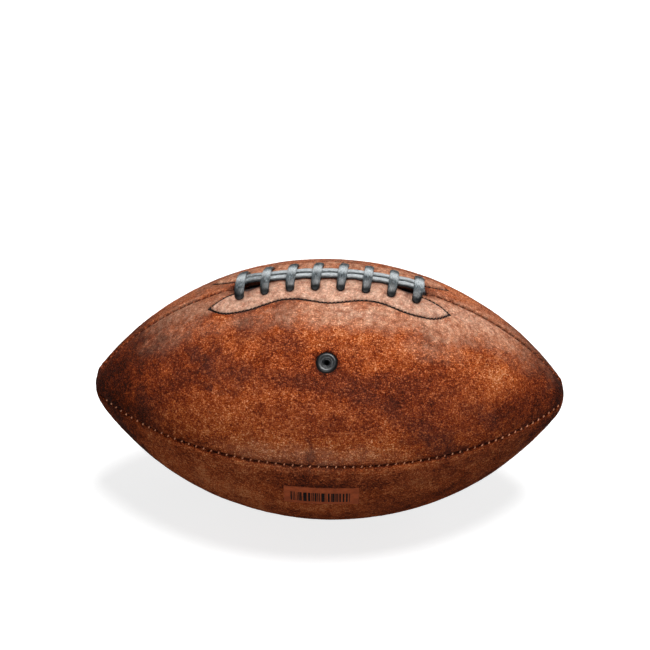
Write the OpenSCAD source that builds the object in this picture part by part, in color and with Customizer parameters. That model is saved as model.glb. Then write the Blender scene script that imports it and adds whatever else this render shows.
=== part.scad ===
// Laced american football: four turned and sewn leather panels over linings and a bladder,
// closed by one flat lace through sixteen holes. Millimetres, +Z up, nose to nose along X.
// The ball lies on its bottom seam, laces up, with the origin under its middle.

/* [Ball] */
// Length from nose to nose
ball_length = 285; // [275:1:297]
// Diameter across the widest place
ball_dia = 158.6; // [152:0.2:172]
// Radius of the blunt curve at each nose
nose_radius = 22; // [17:0.5:28]

/* [Panels] */
// Thickness of the leather, which is also the outer radius of a turned edge
leather = 2; // [1.6:0.1:2.4]
// Thickness of the fabric lining behind each panel
lining = 1; // [0.6:0.1:1.4]
// Gap between plies that lie on each other
ply_gap = 0.1; // [0.05:0.05:0.2]

/* [Seams] */
// How deep a sewn edge turns in below the surface of the ball
seam_depth = 7; // [6:0.25:9]
// Half of the gap between the two turned edges of a seam
seam_half_gap = 0.1; // [0.05:0.05:0.2]
// Diameter of the thread in the seams
thread_dia = 0.8; // [0.6:0.1:1.2]
// Distance from one seam stitch to the next
stitch_pitch = 4.9; // [4:0.1:7]
// Length of one seam stitch
stitch_length = 3.6; // [2:0.1:3.8]

/* [Lacing] */
// Number of cross loops
cross_laces = 8; // [6:1:9]
// Distance from one cross loop to the next
lace_pitch = 14.5; // [12:0.25:16]
// Width of the lace where it lies flat
lace_width = 4.8; // [3.6:0.1:5.6]
// Thickness of the lace where it lies flat
lace_thick = 1.6; // [1.2:0.1:1.8]
// How far the rear end of a cross loop lies ahead of its front end
lace_lean = 2; // [0:0.25:3]
// Distance of the lace holes from the seam
hole_reach = 13; // [12:0.25:15]
// Diameter of a lace hole
hole_dia = 4.8; // [4.6:0.1:5.4]
// Width of each long strand, where the lace is drawn narrow
strand_width = 3; // [2.6:0.1:3.2]
// Thickness of each long strand
strand_thick = 2; // [1.6:0.1:2.2]
// Gap between the two long strands
strand_gap = 0.6; // [0.5:0.05:0.9]

/* [Lace facings] */
// Thickness of the reinforcing strips behind the lace holes
facing_thick = 1.6; // [1.2:0.1:2]
// Furthest that the sewn outline lies from the seam
outline_reach = 24; // [22:0.5:28]
// How far the waists of the outline draw back towards the seam
outline_wave = 4; // [2:0.25:5]
// Distance from one lobe of the outline to the next
lobe_pitch = 48; // [42:1:54]
// Diameter of the thread in the outline
outline_thread_dia = 0.9; // [0.6:0.1:1.2]
// Width of the facing outside its sewn outline
facing_margin = 3; // [2:0.25:4]
// Thickness of the tongue between the lacing and the bladder
tongue_thick = 1.2; // [0.8:0.1:1.6]
// Half of the width of the tongue
tongue_half_width = 20; // [18:0.5:23]

/* [Bladder and valve] */
// Wall of the rubber bladder
bladder_wall = 0.8; // [0.6:0.1:1.2]
// Diameter of the valve head in its panel hole
valve_head_dia = 12.2; // [11:0.1:13.4]
// Radius of the round rim on the valve head
valve_rim_radius = 0.9; // [0.6:0.1:1.2]
// Diameter of the flange behind the panel
valve_flange_dia = 26; // [20:0.5:30]
// Diameter of the valve stem
valve_stem_dia = 9; // [8:0.1:10]
// Depth of the stem below the surface of the ball
valve_stem_depth = 16; // [13:0.5:20]
// Diameter of the plug in the stem
plug_dia = 4.6; // [4:0.1:5.2]
// Diameter of the channel for the inflating needle
needle_dia = 2.1; // [1.8:0.1:2.4]
// Diameter of the patch inside the bladder
patch_dia = 36; // [30:0.5:42]
// Thickness of the patch
patch_thick = 0.8; // [0.5:0.1:1.2]

/* [Hidden] */
$fn = 128;

// Clearance between pieces that lie beside each other
clearance = 0.3;
// Clearance round a thread, a plug or a rubber head in its seat
seat_gap = 0.1;
// Overrun of every cutting shape
overrun = 2;

// The profile: one long arc over the widest place, met smoothly by a small arc at each nose
half_length = ball_length / 2;
ball_radius = ball_dia / 2;
nose_ease = 0.01;
nose_z = half_length - nose_radius - nose_ease;
side_radius = (nose_z * nose_z + ball_radius * ball_radius - nose_radius * nose_radius)
  / (2 * (ball_radius - nose_radius));
side_offset = ball_radius - side_radius;
side_angle = asin(nose_z / (side_radius - nose_radius));
reach = 3 * side_radius;

// The laced slot, and where the long strands dive into it
lace_half = (cross_laces - 1) * lace_pitch / 2;
strand_offset = (strand_width + strand_gap) / 2;
dive_radius = strand_offset + strand_width / 2 + clearance;
dive_z = lace_half + dive_radius;
slot_half = dive_z + dive_radius + leather;
slot_angle = asin(slot_half / side_radius);

// Depths of the plies below the surface of the ball
lining_depth = leather + ply_gap;
facing_back = lining_depth + facing_thick;
bladder_depth = facing_back + ply_gap;
bladder_back = bladder_depth + bladder_wall;
bend_slack = 0.9;
lace_back = facing_back + bend_slack + lace_thick / 2;
tongue_depth = lace_back + lace_thick / 2 + clearance;
pocket_depth = tongue_depth + tongue_thick + ply_gap;
ply_edge = seam_half_gap + leather + clearance;

// The thread lies between the two round edges of a seam and touches neither
thread_depth = leather - sqrt(pow(leather + thread_dia / 2 + seat_gap, 2) - pow(leather + seam_half_gap, 2));
tip_stitch_angle = 78;

// The lace: its narrow size in the holes, its heights, and how squarely it turns beneath
cross_gap = 0.7;
hole_lace_width = 3.4;
hole_lace_thick = 2.1;
fold_lace_width = 2.4;
lace_flat_share = 0.75;
strand_height = clearance + strand_thick / 2;
crest_height = strand_height + strand_thick / 2 + cross_gap + lace_thick / 2;
mid_height = -facing_back / 2;
under_drop = lace_back + mid_height;
square_power = 2 / 3.5;
dive_bend = 2.2;
tail_run = 9;
loop_rings = 24;
strand_rings = 14;
far_rings = 7;
near_reach = 3 * lace_width;

// The sewn outline: past each end of the slot to a tip, then back in under the end loop
tip_run = 9.5;
tip_z = slot_half + tip_run;
tip_reach = 14;
tip_return = 7;
tip_steps = 5;
return_z = lace_half + lace_width / 2;
outline_stitch = 3.6;
outline_stitch_share = 0.82;
outline_rise = outline_thread_dia / 2 + seat_gap;
outline_steps = round(dive_z / outline_stitch);

// The tongue stays inside the slot, and the valve is sunk where its flange lies behind the panel
tongue_half = slot_half - clearance;
tongue_corner = tongue_half_width / 2;
valve_turn = 45;
plug_depth = valve_rim_radius;

function reversed(list) = [for (i = [len(list) - 1:-1:0]) list[i]];
function local_radius(z) = side_offset + sqrt(side_radius * side_radius - z * z);
function turn_of(z, s) = s / local_radius(z) * 180 / PI;

// A point over the ball: z along it, s round from the laced seam, and a height above the leather
function ball_point(z, s, height) =
  let (tilt = asin(z / side_radius), turn = turn_of(z, s), r = local_radius(z) + height * cos(tilt))
  [r * cos(turn), r * sin(turn), z + height * sin(tilt)];

// Directions along the ball and round it at a place on its surface
function along(z, s) =
  let (tilt = asin(z / side_radius), turn = turn_of(z, s))
  [-sin(tilt) * cos(turn), -sin(tilt) * sin(turn), cos(tilt)];
function around(z, s) = [-sin(turn_of(z, s)), cos(turn_of(z, s)), 0];

// The ball lies down: its own axis along X, the laced seam up, the front towards -Y
module lay() {
  translate([0, 0, ball_radius]) rotate([180, -90, 0]) children();
}

// Half section of the ball at a depth below its surface, nose to nose along the second axis.
// The long arc ends inside each nose circle, which stands out by nose_ease, so they always cross.
module half_section(depth) {
  intersection() {
    union() {
      intersection() {
        translate([side_offset, 0]) circle(side_radius - depth);
        polygon([
          [0, -nose_z], [reach * cos(side_angle), -nose_z - reach * sin(side_angle)],
          [reach * cos(side_angle), nose_z + reach * sin(side_angle)], [0, nose_z]
        ]);
      }
      for (end = [-1, 1]) translate([0, end * nose_z]) circle(nose_radius + nose_ease - depth);
    }
    translate([0, -half_length]) square([ball_dia, ball_length]);
  }
}

// Whole section, for what lies in the plane of two opposite seams
module full_section(depth) {
  half_section(depth);
  mirror([1, 0]) half_section(depth);
}

// The solid ball below a depth
module ball(depth) {
  rotate_extrude() half_section(depth);
}

// A ply between two depths, over a quarter of the ball
module quarter_ply(outer_depth, inner_depth) {
  rotate_extrude(angle = 90) difference() {
    half_section(outer_depth);
    half_section(inner_depth);
  }
}

// The space of one quarter, kept clear of both seam planes
module quarter_space(edge) {
  translate([edge, edge, -half_length]) cube([ball_dia, ball_dia, ball_length]);
}

// Everything on one side of a seam, with a round rim that turns the leather into it. The rim
// follows the long arc, and runs out where the ball draws in towards its noses.
module seam_side() {
  translate([side_offset, 0, 0]) rotate([-90, 0, 0]) rotate_extrude() {
    translate([0, seam_half_gap]) square([side_radius - leather, ball_dia]);
    translate([0, seam_half_gap + leather]) square([side_radius, ball_dia]);
    translate([side_radius - leather, seam_half_gap + leather]) circle(leather);
  }
}

// The part of an edge that goes down into the seam; beside the lacing it ends level with the facing
module seam_flange(laced) {
  translate([0, seam_half_gap + leather, 0]) rotate([90, 0, 0])
    linear_extrude(leather + overrun) difference() {
      half_section(leather / 2);
      half_section(seam_depth);
      if (laced) intersection() {
        half_section(facing_back);
        translate([0, -slot_half]) square([ball_dia, 2 * slot_half]);
      }
    }
}

// A quarter of the ball in leather, with its two edges turned in
module panel(laced) {
  intersection() {
    union() {
      quarter_ply(0, leather);
      seam_flange(laced);
      mirror([1, -1, 0]) seam_flange(false);
    }
    seam_side();
    mirror([1, -1, 0]) seam_side();
  }
}

// Places a child square to the surface, with its own Z outwards
module on_surface(z, s) {
  rotate([0, 0, turn_of(z, s)]) translate([side_offset, 0, 0])
    rotate([0, -asin(z / side_radius), 0]) translate([side_radius, 0, 0])
      rotate([0, 90, 0]) children();
}

// The eight holes of one side and the openings for the long strands, through leather and facing
module lace_holes(lean) {
  depth = facing_back + overrun;
  for (k = [0:cross_laces - 1])
    on_surface(lace_half - k * lace_pitch + lean, hole_reach)
      translate([0, 0, -depth]) cylinder(h = depth + overrun, d = hole_dia);
  for (end = [-1, 1]) on_surface(end * dive_z, 0)
    translate([0, 0, -depth]) cylinder(h = depth + overrun, r = dive_radius);
}

// The valve's own place: square to the middle of the front upper panel, Z outwards from the surface
module at_valve() {
  rotate([0, 0, valve_turn]) translate([ball_radius, 0, 0]) rotate([0, 90, 0]) children();
}

// A round hole through every ply at the valve
module valve_hole(diameter) {
  at_valve() translate([0, 0, -valve_stem_depth])
    cylinder(h = valve_stem_depth + overrun, d = diameter);
}

module front_upper_panel() {
  color("saddlebrown") lay() difference() {
    panel(true);
    lace_holes(-lace_lean / 2);
    valve_hole(valve_head_dia + 2 * seat_gap);
  }
}

module rear_upper_panel() {
  color("sienna") lay() mirror([0, 1, 0]) difference() {
    panel(true);
    lace_holes(lace_lean / 2);
  }
}

module front_lower_panel() {
  color("sienna") lay() rotate([0, 0, 90]) panel(false);
}

module rear_lower_panel() {
  color("saddlebrown") lay() rotate([0, 0, 180]) panel(false);
}

// Plan outline of the sewn line on one side, seen square to the lacing
function lobe_reach(z) = outline_reach - outline_wave * (1 - cos(360 * z / lobe_pitch)) / 2;
function outer_line(margin) = concat(
  [for (i = [0:outline_steps]) let (z = dive_z * i / outline_steps) [z, lobe_reach(z) + margin]],
  [for (i = [1:tip_steps]) let (a = 90 * i / tip_steps)
    [dive_z + (tip_z + margin - dive_z) * sin(a),
     tip_reach + (lobe_reach(dive_z) + margin - tip_reach) * pow(cos(a), 2)]]
);
return_line = [for (i = [1:tip_steps]) let (a = 90 * i / tip_steps)
  [return_z + (tip_z - return_z) * cos(a),
   tip_return + (tip_reach - tip_return) * pow(cos(a), 2)]];
half_line = concat(outer_line(0), return_line);
sewn_line = concat(
  [for (p = reversed(half_line)) [-p[0], p[1]]],
  [for (i = [1:len(half_line) - 1]) half_line[i]]
);

// A column over a plan outline, from the middle of the ball out past its top
module plan_column(outline) {
  rotate([0, -90, 0]) translate([0, 0, -ball_dia]) linear_extrude(ball_dia) polygon(outline);
}

// Where a facing lies, grown by a margin round it
function facing_half(margin, end_z, edge) = concat(
  [[end_z, edge], [end_z, tip_return - margin]],
  reversed(outer_line(margin))
);
function in_plan(p) = [p[0], local_radius(p[0]) * sin(turn_of(p[0], p[1]))];
function facing_outline(margin, end_z, edge) =
  let (half = [for (p = facing_half(margin, end_z, edge)) in_plan(p)])
  concat(half, [for (i = [len(half) - 2:-1:0]) [-half[i][0], half[i][1]]]);

module quarter_lining(laced) {
  difference() {
    intersection() {
      quarter_ply(lining_depth, lining_depth + lining);
      quarter_space(ply_edge);
    }
    if (laced) plan_column(facing_outline(facing_margin + clearance, slot_half, 0));
  }
}

module front_upper_lining() {
  color("wheat") lay() difference() {
    quarter_lining(true);
    valve_hole(valve_flange_dia + 2 * clearance);
  }
}

module rear_upper_lining() {
  color("wheat") lay() mirror([0, 1, 0]) quarter_lining(true);
}

module front_lower_lining() {
  color("wheat") lay() rotate([0, 0, 90]) quarter_lining(false);
}

module rear_lower_lining() {
  color("wheat") lay() rotate([0, 0, 180]) quarter_lining(false);
}

module lace_facing(lean) {
  difference() {
    intersection() {
      quarter_ply(lining_depth, facing_back);
      plan_column(facing_outline(facing_margin, slot_half - clearance, ply_edge));
    }
    lace_holes(lean);
  }
}

module front_lace_facing() {
  color("peru") lay() lace_facing(-lace_lean / 2);
}

module rear_lace_facing() {
  color("peru") lay() mirror([0, 1, 0]) lace_facing(lace_lean / 2);
}

// A straight thread between two points
module thread(a, b) {
  run = b - a;
  translate(a) rotate([0, acos(run[2] / norm(run)), atan2(run[1], run[0])])
    cylinder(h = norm(run), d = outline_thread_dia);
}

module facing_stitching() {
  for (i = [0:len(sewn_line) - 2]) {
    a = ball_point(sewn_line[i][0], sewn_line[i][1], outline_rise);
    b = ball_point(sewn_line[i + 1][0], sewn_line[i + 1][1], outline_rise);
    trim = (b - a) * (1 - outline_stitch_share) / 2;
    thread(a + trim, b - trim);
  }
}

module front_facing_stitching() {
  color("black") lay() facing_stitching();
}

module rear_facing_stitching() {
  color("black") lay() mirror([0, 1, 0]) facing_stitching();
}

// A row of stitches in a seam, along an arc between two angles
module stitches_along(radius, from, to) {
  pitch = stitch_pitch / radius * 180 / PI;
  angle = stitch_length / radius * 180 / PI;
  count = floor((to - from) / pitch);
  for (i = [0:count - 1])
    rotate([-90, 0, 0]) rotate([0, 0, (from + to - count * pitch) / 2 + (i + 0.5) * pitch - angle / 2])
      rotate_extrude(angle = angle) translate([radius - thread_depth, 0]) circle(d = thread_dia);
}

module nose_stitches() {
  translate([0, 0, -nose_z]) stitches_along(nose_radius, side_angle, tip_stitch_angle);
}

module seam_thread() {
  color("peru") {
    translate([side_offset, 0, 0]) stitches_along(side_radius, -side_angle, side_angle);
    nose_stitches();
    mirror([0, 0, 1]) nose_stitches();
  }
}

// The laced seam is sewn only from the end of the slot to the nose
module top_seam_thread() {
  color("peru") {
    translate([side_offset, 0, 0]) stitches_along(side_radius, slot_angle, side_angle);
    nose_stitches();
  }
}

module top_seam_thread_left() {
  lay() top_seam_thread();
}

module top_seam_thread_right() {
  lay() mirror([0, 0, 1]) top_seam_thread();
}

module front_seam_thread() {
  lay() rotate([0, 0, 90]) seam_thread();
}

module rear_seam_thread() {
  lay() rotate([0, 0, 270]) seam_thread();
}

module bottom_seam_thread() {
  lay() rotate([0, 0, 180]) seam_thread();
}

// Plan of the tongue, a strip with round corners under the whole slot
module tongue_column(grow) {
  half_width = tongue_half_width + grow;
  half = tongue_half + grow;
  rotate([0, -90, 0]) translate([0, 0, -ball_dia]) linear_extrude(ball_dia) {
    square([2 * (half - tongue_corner), 2 * half_width], center = true);
    square([2 * half, 2 * (half_width - tongue_corner)], center = true);
    for (x = [-1, 1], y = [-1, 1])
      translate([x * (half - tongue_corner), y * (half_width - tongue_corner)]) circle(tongue_corner);
  }
}

module lace_tongue() {
  color("burlywood") lay() intersection() {
    rotate([0, 0, -45]) quarter_ply(tongue_depth, tongue_depth + tongue_thick);
    tongue_column(0);
  }
}

// The room that the sewn edges take inside the ball, in both seam planes
module seam_channels(grow) {
  for (turn = [0, 90]) rotate([90, 0, turn])
    translate([0, 0, -ply_edge - grow]) linear_extrude(2 * (ply_edge + grow)) difference() {
      square([2 * ball_dia, 2 * ball_length], center = true);
      full_section(seam_depth + clearance + grow);
    }
}

// The bladder swells against the plies, round the sewn edges and under the tongue
module bladder_form(depth, grow) {
  difference() {
    ball(depth);
    seam_channels(grow);
    difference() {
      tongue_column(clearance + grow);
      ball(pocket_depth + grow);
    }
  }
}

module bladder() {
  color("dimgray") lay() difference() {
    bladder_form(bladder_depth, 0);
    bladder_form(bladder_back, bladder_wall);
    valve_hole(valve_stem_dia + 2 * seat_gap);
  }
}

// A disc that follows the curve of the ball between two depths
module valve_disc(outer_depth, inner_depth, diameter) {
  intersection() {
    quarter_ply(outer_depth, inner_depth);
    valve_hole(diameter);
  }
}

module valve_patch() {
  color("gray") lay() difference() {
    valve_disc(bladder_back + ply_gap, bladder_back + ply_gap + patch_thick, patch_dia);
    valve_hole(valve_stem_dia + 2 * seat_gap);
  }
}

// Rubber head with a round rim in the panel hole, flange behind the panel, stem into the bladder
module valve_body() {
  color("black") lay() difference() {
    union() {
      at_valve() rotate_extrude() {
        translate([0, -lining_depth - facing_thick / 2])
          square([valve_head_dia / 2 - valve_rim_radius, lining_depth + facing_thick / 2]);
        translate([0, -lining_depth - facing_thick / 2])
          square([valve_head_dia / 2, lining_depth + facing_thick / 2 - valve_rim_radius / 2]);
        translate([valve_head_dia / 2 - valve_rim_radius, -valve_rim_radius / 2]) circle(valve_rim_radius);
      }
      valve_disc(lining_depth, facing_back, valve_flange_dia);
      at_valve() translate([0, 0, -valve_stem_depth])
        cylinder(h = valve_stem_depth - lining_depth, d = valve_stem_dia);
    }
    valve_bore(plug_dia + 2 * seat_gap, valve_stem_depth + overrun);
  }
}

// A bore down the valve's axis, open at the top
module valve_bore(diameter, depth) {
  at_valve() translate([0, 0, -depth]) cylinder(h = depth + overrun, d = diameter);
}

module valve_plug() {
  color("black") lay() difference() {
    at_valve() translate([0, 0, -valve_stem_depth])
      cylinder(h = valve_stem_depth - plug_depth, d = plug_dia);
    valve_bore(needle_dia, valve_stem_depth + overrun);
  }
}

// The lace route in rows: place along, place round, height, turn of its flat side, width, thickness.
// It lies along the slot, folds under at the far end, lies back beside itself, and then crosses
// over both strands and under the slot, hole by hole.
function strand(side, heading) = [for (i = [0:strand_rings])
  [heading * (2 * i / strand_rings - 1) * (dive_z - dive_bend), side * strand_offset,
   strand_height, 90, strand_width, strand_thick]];
function dive(side, end) = concat(
  [for (a = [30, 60, 90])
    [end * (dive_z - dive_bend * (1 - sin(a))), side * strand_offset,
     strand_height - dive_bend * (1 - cos(a)), 90, strand_width, strand_thick]],
  [[end * dive_z, side * strand_offset, mid_height, 45, fold_lace_width, strand_thick]]
);
function fold(end) = [for (a = [0:30:180])
  [end * dive_z, strand_offset * cos(a), strand_offset - lace_back - strand_offset * sin(a),
   0, fold_lace_width, strand_thick]];
function bend_out(side, end) = [for (a = [0, 45, 90])
  [end * dive_z, side * (strand_offset + dive_bend * (1 - cos(a))),
   dive_bend * (1 - sin(a)) - lace_back, 0, fold_lace_width, strand_thick]];
start_tail = [for (i = [0, 0.5])
  [dive_z + lace_thick * (1 - i), strand_offset + dive_bend + tail_run * (1 - i), -lace_back,
   0, hole_lace_width, lace_thick]];

// A cross loop by the angle round it, from its rear hole over the strands and back underneath
function loop_s(a) = a <= 180 ? -hole_reach * cos(a)
  : -hole_reach * sign(cos(a)) * pow(abs(cos(a)), square_power);
function loop_height(a) = a <= 180 ? mid_height + (crest_height - mid_height) * sin(a)
  : mid_height - under_drop * pow(abs(sin(a)), square_power);
function loop_row(z, a) = [z, loop_s(a), loop_height(a), 0,
  hole_lace_width + (lace_width - hole_lace_width) * abs(sin(a)),
  hole_lace_thick + (lace_thick - hole_lace_thick) * abs(sin(a))];
function step_share(a) = (1 - loop_s(a) / hole_reach) / 2;
function cross_loop(k, rings) = [for (i = [0:rings - 1])
  let (a = 360 * i / loop_rings, z = lace_half - k * lace_pitch)
  loop_row(a <= 180 ? z + lace_lean / 2 * cos(a)
    : z - lace_lean / 2 - (lace_pitch - lace_lean) * step_share(a), a)];
lead_in = [for (a = [300:15:345])
  loop_row(lace_half + lace_lean / 2 + (dive_z - lace_half - lace_lean / 2) * (1 - step_share(a)), a)];
end_tail = [for (a = [180:15:240])
  loop_row(-lace_half - lace_lean / 2 - lace_width * step_share(a), a)];

lace_rows = concat(
  start_tail, reversed(bend_out(1, 1)), reversed(dive(1, 1)),
  strand(1, -1), dive(1, -1), fold(-1), reversed(dive(-1, -1)),
  strand(-1, 1), dive(-1, 1), bend_out(-1, 1), lead_in,
  [for (k = [0:cross_laces - 2], row = cross_loop(k, loop_rings)) row],
  cross_loop(cross_laces - 1, loop_rings / 2), end_tail
);

// Six points round the flat lace at each row, its flat side square to the route
lace_spine = [for (row = lace_rows) ball_point(row[0], row[1], row[2])];
lace_last = len(lace_rows) - 1;
function unit(v) = v / norm(v);
function lace_ring(i) =
  let (
    row = lace_rows[i], p = lace_spine[i],
    run = unit(lace_spine[min(i + 1, lace_last)] - lace_spine[max(i - 1, 0)]),
    side = cos(row[3]) * along(row[0], row[1]) + sin(row[3]) * around(row[0], row[1]),
    flat = unit(side - (side * run) * run),
    across = flat * row[4] / 2, up = cross(run, flat) * row[5] / 2
  )
  [p + across, p + across * lace_flat_share + up, p - across * lace_flat_share + up,
   p - across, p - across * lace_flat_share - up, p + across * lace_flat_share - up];
lace_points = [for (i = [0:lace_last]) lace_ring(i)];

// Least distance between points of rows that aren't neighbours on the route
function least_gap() = min([
  for (i = [0:lace_last - far_rings], j = [i + far_rings:lace_last])
    if (norm(lace_spine[i] - lace_spine[j]) < near_reach)
      min([for (p = lace_points[i], q = lace_points[j]) norm(p - q)])
]);

module lace() {
  echo(least_gap_of_lace = least_gap());
  color("lightslategray") lay() polyhedron(
    points = [for (ring = lace_points, p = ring) p],
    faces = concat(
      [for (i = [0:lace_last - 1], j = [0:5]) [6 * i + j, 6 * i + (j + 1) % 6, 6 * i + 6 + j]],
      [for (i = [0:lace_last - 1], j = [0:5])
        [6 * i + (j + 1) % 6, 6 * i + 6 + (j + 1) % 6, 6 * i + 6 + j]],
      [for (j = [1:4]) [0, j + 1, j]],
      [for (j = [1:4]) [6 * lace_last, 6 * lace_last + j, 6 * lace_last + j + 1]]
    )
  );
}

front_upper_panel();
rear_upper_panel();
front_lower_panel();
rear_lower_panel();
front_upper_lining();
rear_upper_lining();
front_lower_lining();
rear_lower_lining();
front_lace_facing();
rear_lace_facing();
front_facing_stitching();
rear_facing_stitching();
top_seam_thread_left();
top_seam_thread_right();
front_seam_thread();
rear_seam_thread();
bottom_seam_thread();
lace_tongue();
bladder();
valve_patch();
valve_body();
valve_plug();
lace();
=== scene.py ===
"""A laced leather football: the looks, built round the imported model."""
import math

import bpy
import numpy as np
from mathutils import Matrix, Vector


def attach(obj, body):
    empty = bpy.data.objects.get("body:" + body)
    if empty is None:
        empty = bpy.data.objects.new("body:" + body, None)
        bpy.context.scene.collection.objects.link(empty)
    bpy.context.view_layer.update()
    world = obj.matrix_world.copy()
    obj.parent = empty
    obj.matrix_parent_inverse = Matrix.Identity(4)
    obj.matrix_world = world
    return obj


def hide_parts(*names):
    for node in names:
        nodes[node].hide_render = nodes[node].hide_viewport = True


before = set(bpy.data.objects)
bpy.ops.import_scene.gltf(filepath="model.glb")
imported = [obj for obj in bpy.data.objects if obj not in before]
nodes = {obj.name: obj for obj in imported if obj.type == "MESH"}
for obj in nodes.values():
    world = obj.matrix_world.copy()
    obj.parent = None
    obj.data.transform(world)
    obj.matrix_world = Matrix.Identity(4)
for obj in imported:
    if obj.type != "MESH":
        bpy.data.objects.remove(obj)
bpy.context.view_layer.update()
BODY = "root"

# ---- Sizes of the ball, in millimetres ----
MM = 0.001
HALF_LENGTH, BALL_RADIUS, NOSE_RADIUS = 142.5, 79.3, 22.0
LEATHER = 2.0                    # thickness of a panel
SEAM_GAP = 0.1                   # from a seam's middle to the leather
SEAM_DEPTH = 7.0                 # how deep a turned edge reaches
STITCH_PITCH = 4.9
THREAD_DEPTH = 0.62              # of the seam thread's middle below the surface
CROSS_LACES, LACE_PITCH, LACE_LEAN = 8, 14.5, 2.0
FRONT_REACH, REAR_REACH = 12.7, 14.4     # from the laced seam to a row of holes
STRAND_WIDTH, STRAND_THICK, STRAND_GAP = 3.0, 2.0, 0.6
LACE_THICK = 1.6
CLEARANCE = 0.3
FACING_BACK = 3.7
LACE_HALF = (CROSS_LACES - 1) * LACE_PITCH / 2
STRAND_OFFSET = (STRAND_WIDTH + STRAND_GAP) / 2
DIVE_RADIUS = STRAND_OFFSET + STRAND_WIDTH / 2 + CLEARANCE
DIVE_X = LACE_HALF + DIVE_RADIUS
SLOT_HALF = DIVE_X + DIVE_RADIUS + LEATHER
OUTLINE_REACH, OUTLINE_WAVE, LOBE_PITCH = 24.0, 4.0, 48.0
TIP_X, TIP_REACH, TIP_RETURN = SLOT_HALF + 9.5, 14.0, 7.0
RETURN_X = LACE_HALF + 2.4
VALVE_TURN = math.radians(45)    # from the laced seam
VALVE_HEAD = 6.2                 # radius of the valve's hole in its panel
QUARTER = math.pi / 2
TOP_TURN = 0.5                   # nearer to the laced seam than to the others
FACED_TURN, FACED_HALF = 0.62, 84

# The long arc of the ball from nose to nose, and the round noses
NOSE_X = HALF_LENGTH - NOSE_RADIUS
SIDE_RADIUS = (NOSE_X ** 2 + BALL_RADIUS ** 2 - NOSE_RADIUS ** 2) / (2 * (BALL_RADIUS - NOSE_RADIUS))
SIDE_OFFSET = BALL_RADIUS - SIDE_RADIUS
SIDE_ANGLE = math.asin(NOSE_X / (SIDE_RADIUS - NOSE_RADIUS))
SIDE_RUN = SIDE_RADIUS * SIDE_ANGLE
HALF_RUN = SIDE_RUN + NOSE_RADIUS * (QUARTER - SIDE_ANGLE)
SIDE_END = SIDE_RADIUS * math.sin(SIDE_ANGLE)


# ---- The surface of the ball ----
def meridian(run):
    """Place along the ball, radius and tilt at a distance from its middle, measured over it."""
    away = np.abs(run)
    on_side = away < SIDE_RUN
    tilt = np.where(on_side, away / SIDE_RADIUS, SIDE_ANGLE + (away - SIDE_RUN) / NOSE_RADIUS)
    x = np.where(on_side, SIDE_RADIUS * np.sin(tilt), NOSE_X + NOSE_RADIUS * np.sin(tilt))
    radius = np.where(on_side, SIDE_OFFSET + SIDE_RADIUS * np.cos(tilt), NOSE_RADIUS * np.cos(tilt))
    return np.sign(run) * x, radius, np.sign(run) * tilt


def radius_at(x):
    away = np.minimum(np.abs(x), HALF_LENGTH)
    side = SIDE_OFFSET + np.sqrt(SIDE_RADIUS ** 2 - away ** 2)
    nose = np.sqrt(np.maximum(NOSE_RADIUS ** 2 - (away - NOSE_X) ** 2, 0))
    return np.where(away < SIDE_END, side, nose)


def tilt_at(x):
    away = np.minimum(np.abs(x), HALF_LENGTH)
    nose = np.arcsin(np.clip((away - NOSE_X) / NOSE_RADIUS, -1, 1))
    return np.sign(x) * np.where(away < SIDE_END, np.arcsin(away / SIDE_RADIUS), nose)


def laid(x, radius, turn):
    """Points at an angle from the laced seam, turning towards the front."""
    x, radius, turn = np.broadcast_arrays(x, radius, turn)
    return np.stack([x, -radius * np.sin(turn), BALL_RADIUS + radius * np.cos(turn)], axis=-1)


def over_ball(x, turn, height):
    """Points at a height above the leather."""
    tilt = tilt_at(x)
    return laid(x + height * np.sin(tilt), radius_at(x) + height * np.cos(tilt), turn)


def from_seam(x, reach, height):
    """Points at a distance round the ball from the laced seam, towards the front if positive."""
    return over_ball(x, reach / radius_at(x), height)


def outward(x, turn):
    tilt = tilt_at(x)
    x, turn, tilt = np.broadcast_arrays(x, turn, tilt)
    return np.stack([np.sin(tilt), -np.cos(tilt) * np.sin(turn), np.cos(tilt) * np.cos(turn)], axis=-1)


def seam_distance(radius, turn):
    """Distance round the ball to the nearest seam."""
    quarter = np.mod(turn, QUARTER)
    return radius * np.minimum(quarter, QUARTER - quarter)


def valve_distance(x, turn):
    return np.hypot(x, BALL_RADIUS * (turn - VALVE_TURN))


def near_lacing(x, turn):
    """Where the lacing and its facings shape and dye the leather."""
    return (np.abs(turn) < FACED_TURN) & (np.abs(x) < FACED_HALF)


def smooth_step(value, low, high):
    t = np.clip((value - low) / (high - low), 0, 1)
    return t * t * (3 - 2 * t)


def bell(value, width):
    return np.exp(-(value / width) ** 2)


def ring_bell(away, height, radius, width):
    return height * bell(away - radius, width)


def swollen(value, power):
    """A sine or cosine drawn out for a fuller cross section."""
    return np.sign(value) * np.abs(value) ** power


# ---- Unevenness with fixed seeds ----
def lattice(cells, seed):
    """A fixed number from 0 to 1 for each whole-numbered cell."""
    c = cells.astype(np.int64)
    h = (c[..., 0] * 73856093) ^ (c[..., 1] * 19349663) ^ (c[..., 2] * 83492791) ^ (seed * 2654435761)
    h = (h ^ (h >> 13)) * 1274126177
    h = (h ^ (h >> 16)) & 0xFFFFFF
    return h / float(0xFFFFFF)


def clouds(points, size, seed):
    """Smooth unevenness from -1 to 1 whose lumps are about one size across."""
    p = points / size
    base = np.floor(p)
    f = p - base
    f = f * f * (3 - 2 * f)
    total = np.zeros(p.shape[:-1])
    for corner in np.ndindex(2, 2, 2):
        c = np.array(corner)
        share = np.prod(np.where(c == 1, f, 1 - f), axis=-1)
        total += share * lattice(base + c, seed)
    return total * 2 - 1


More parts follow.
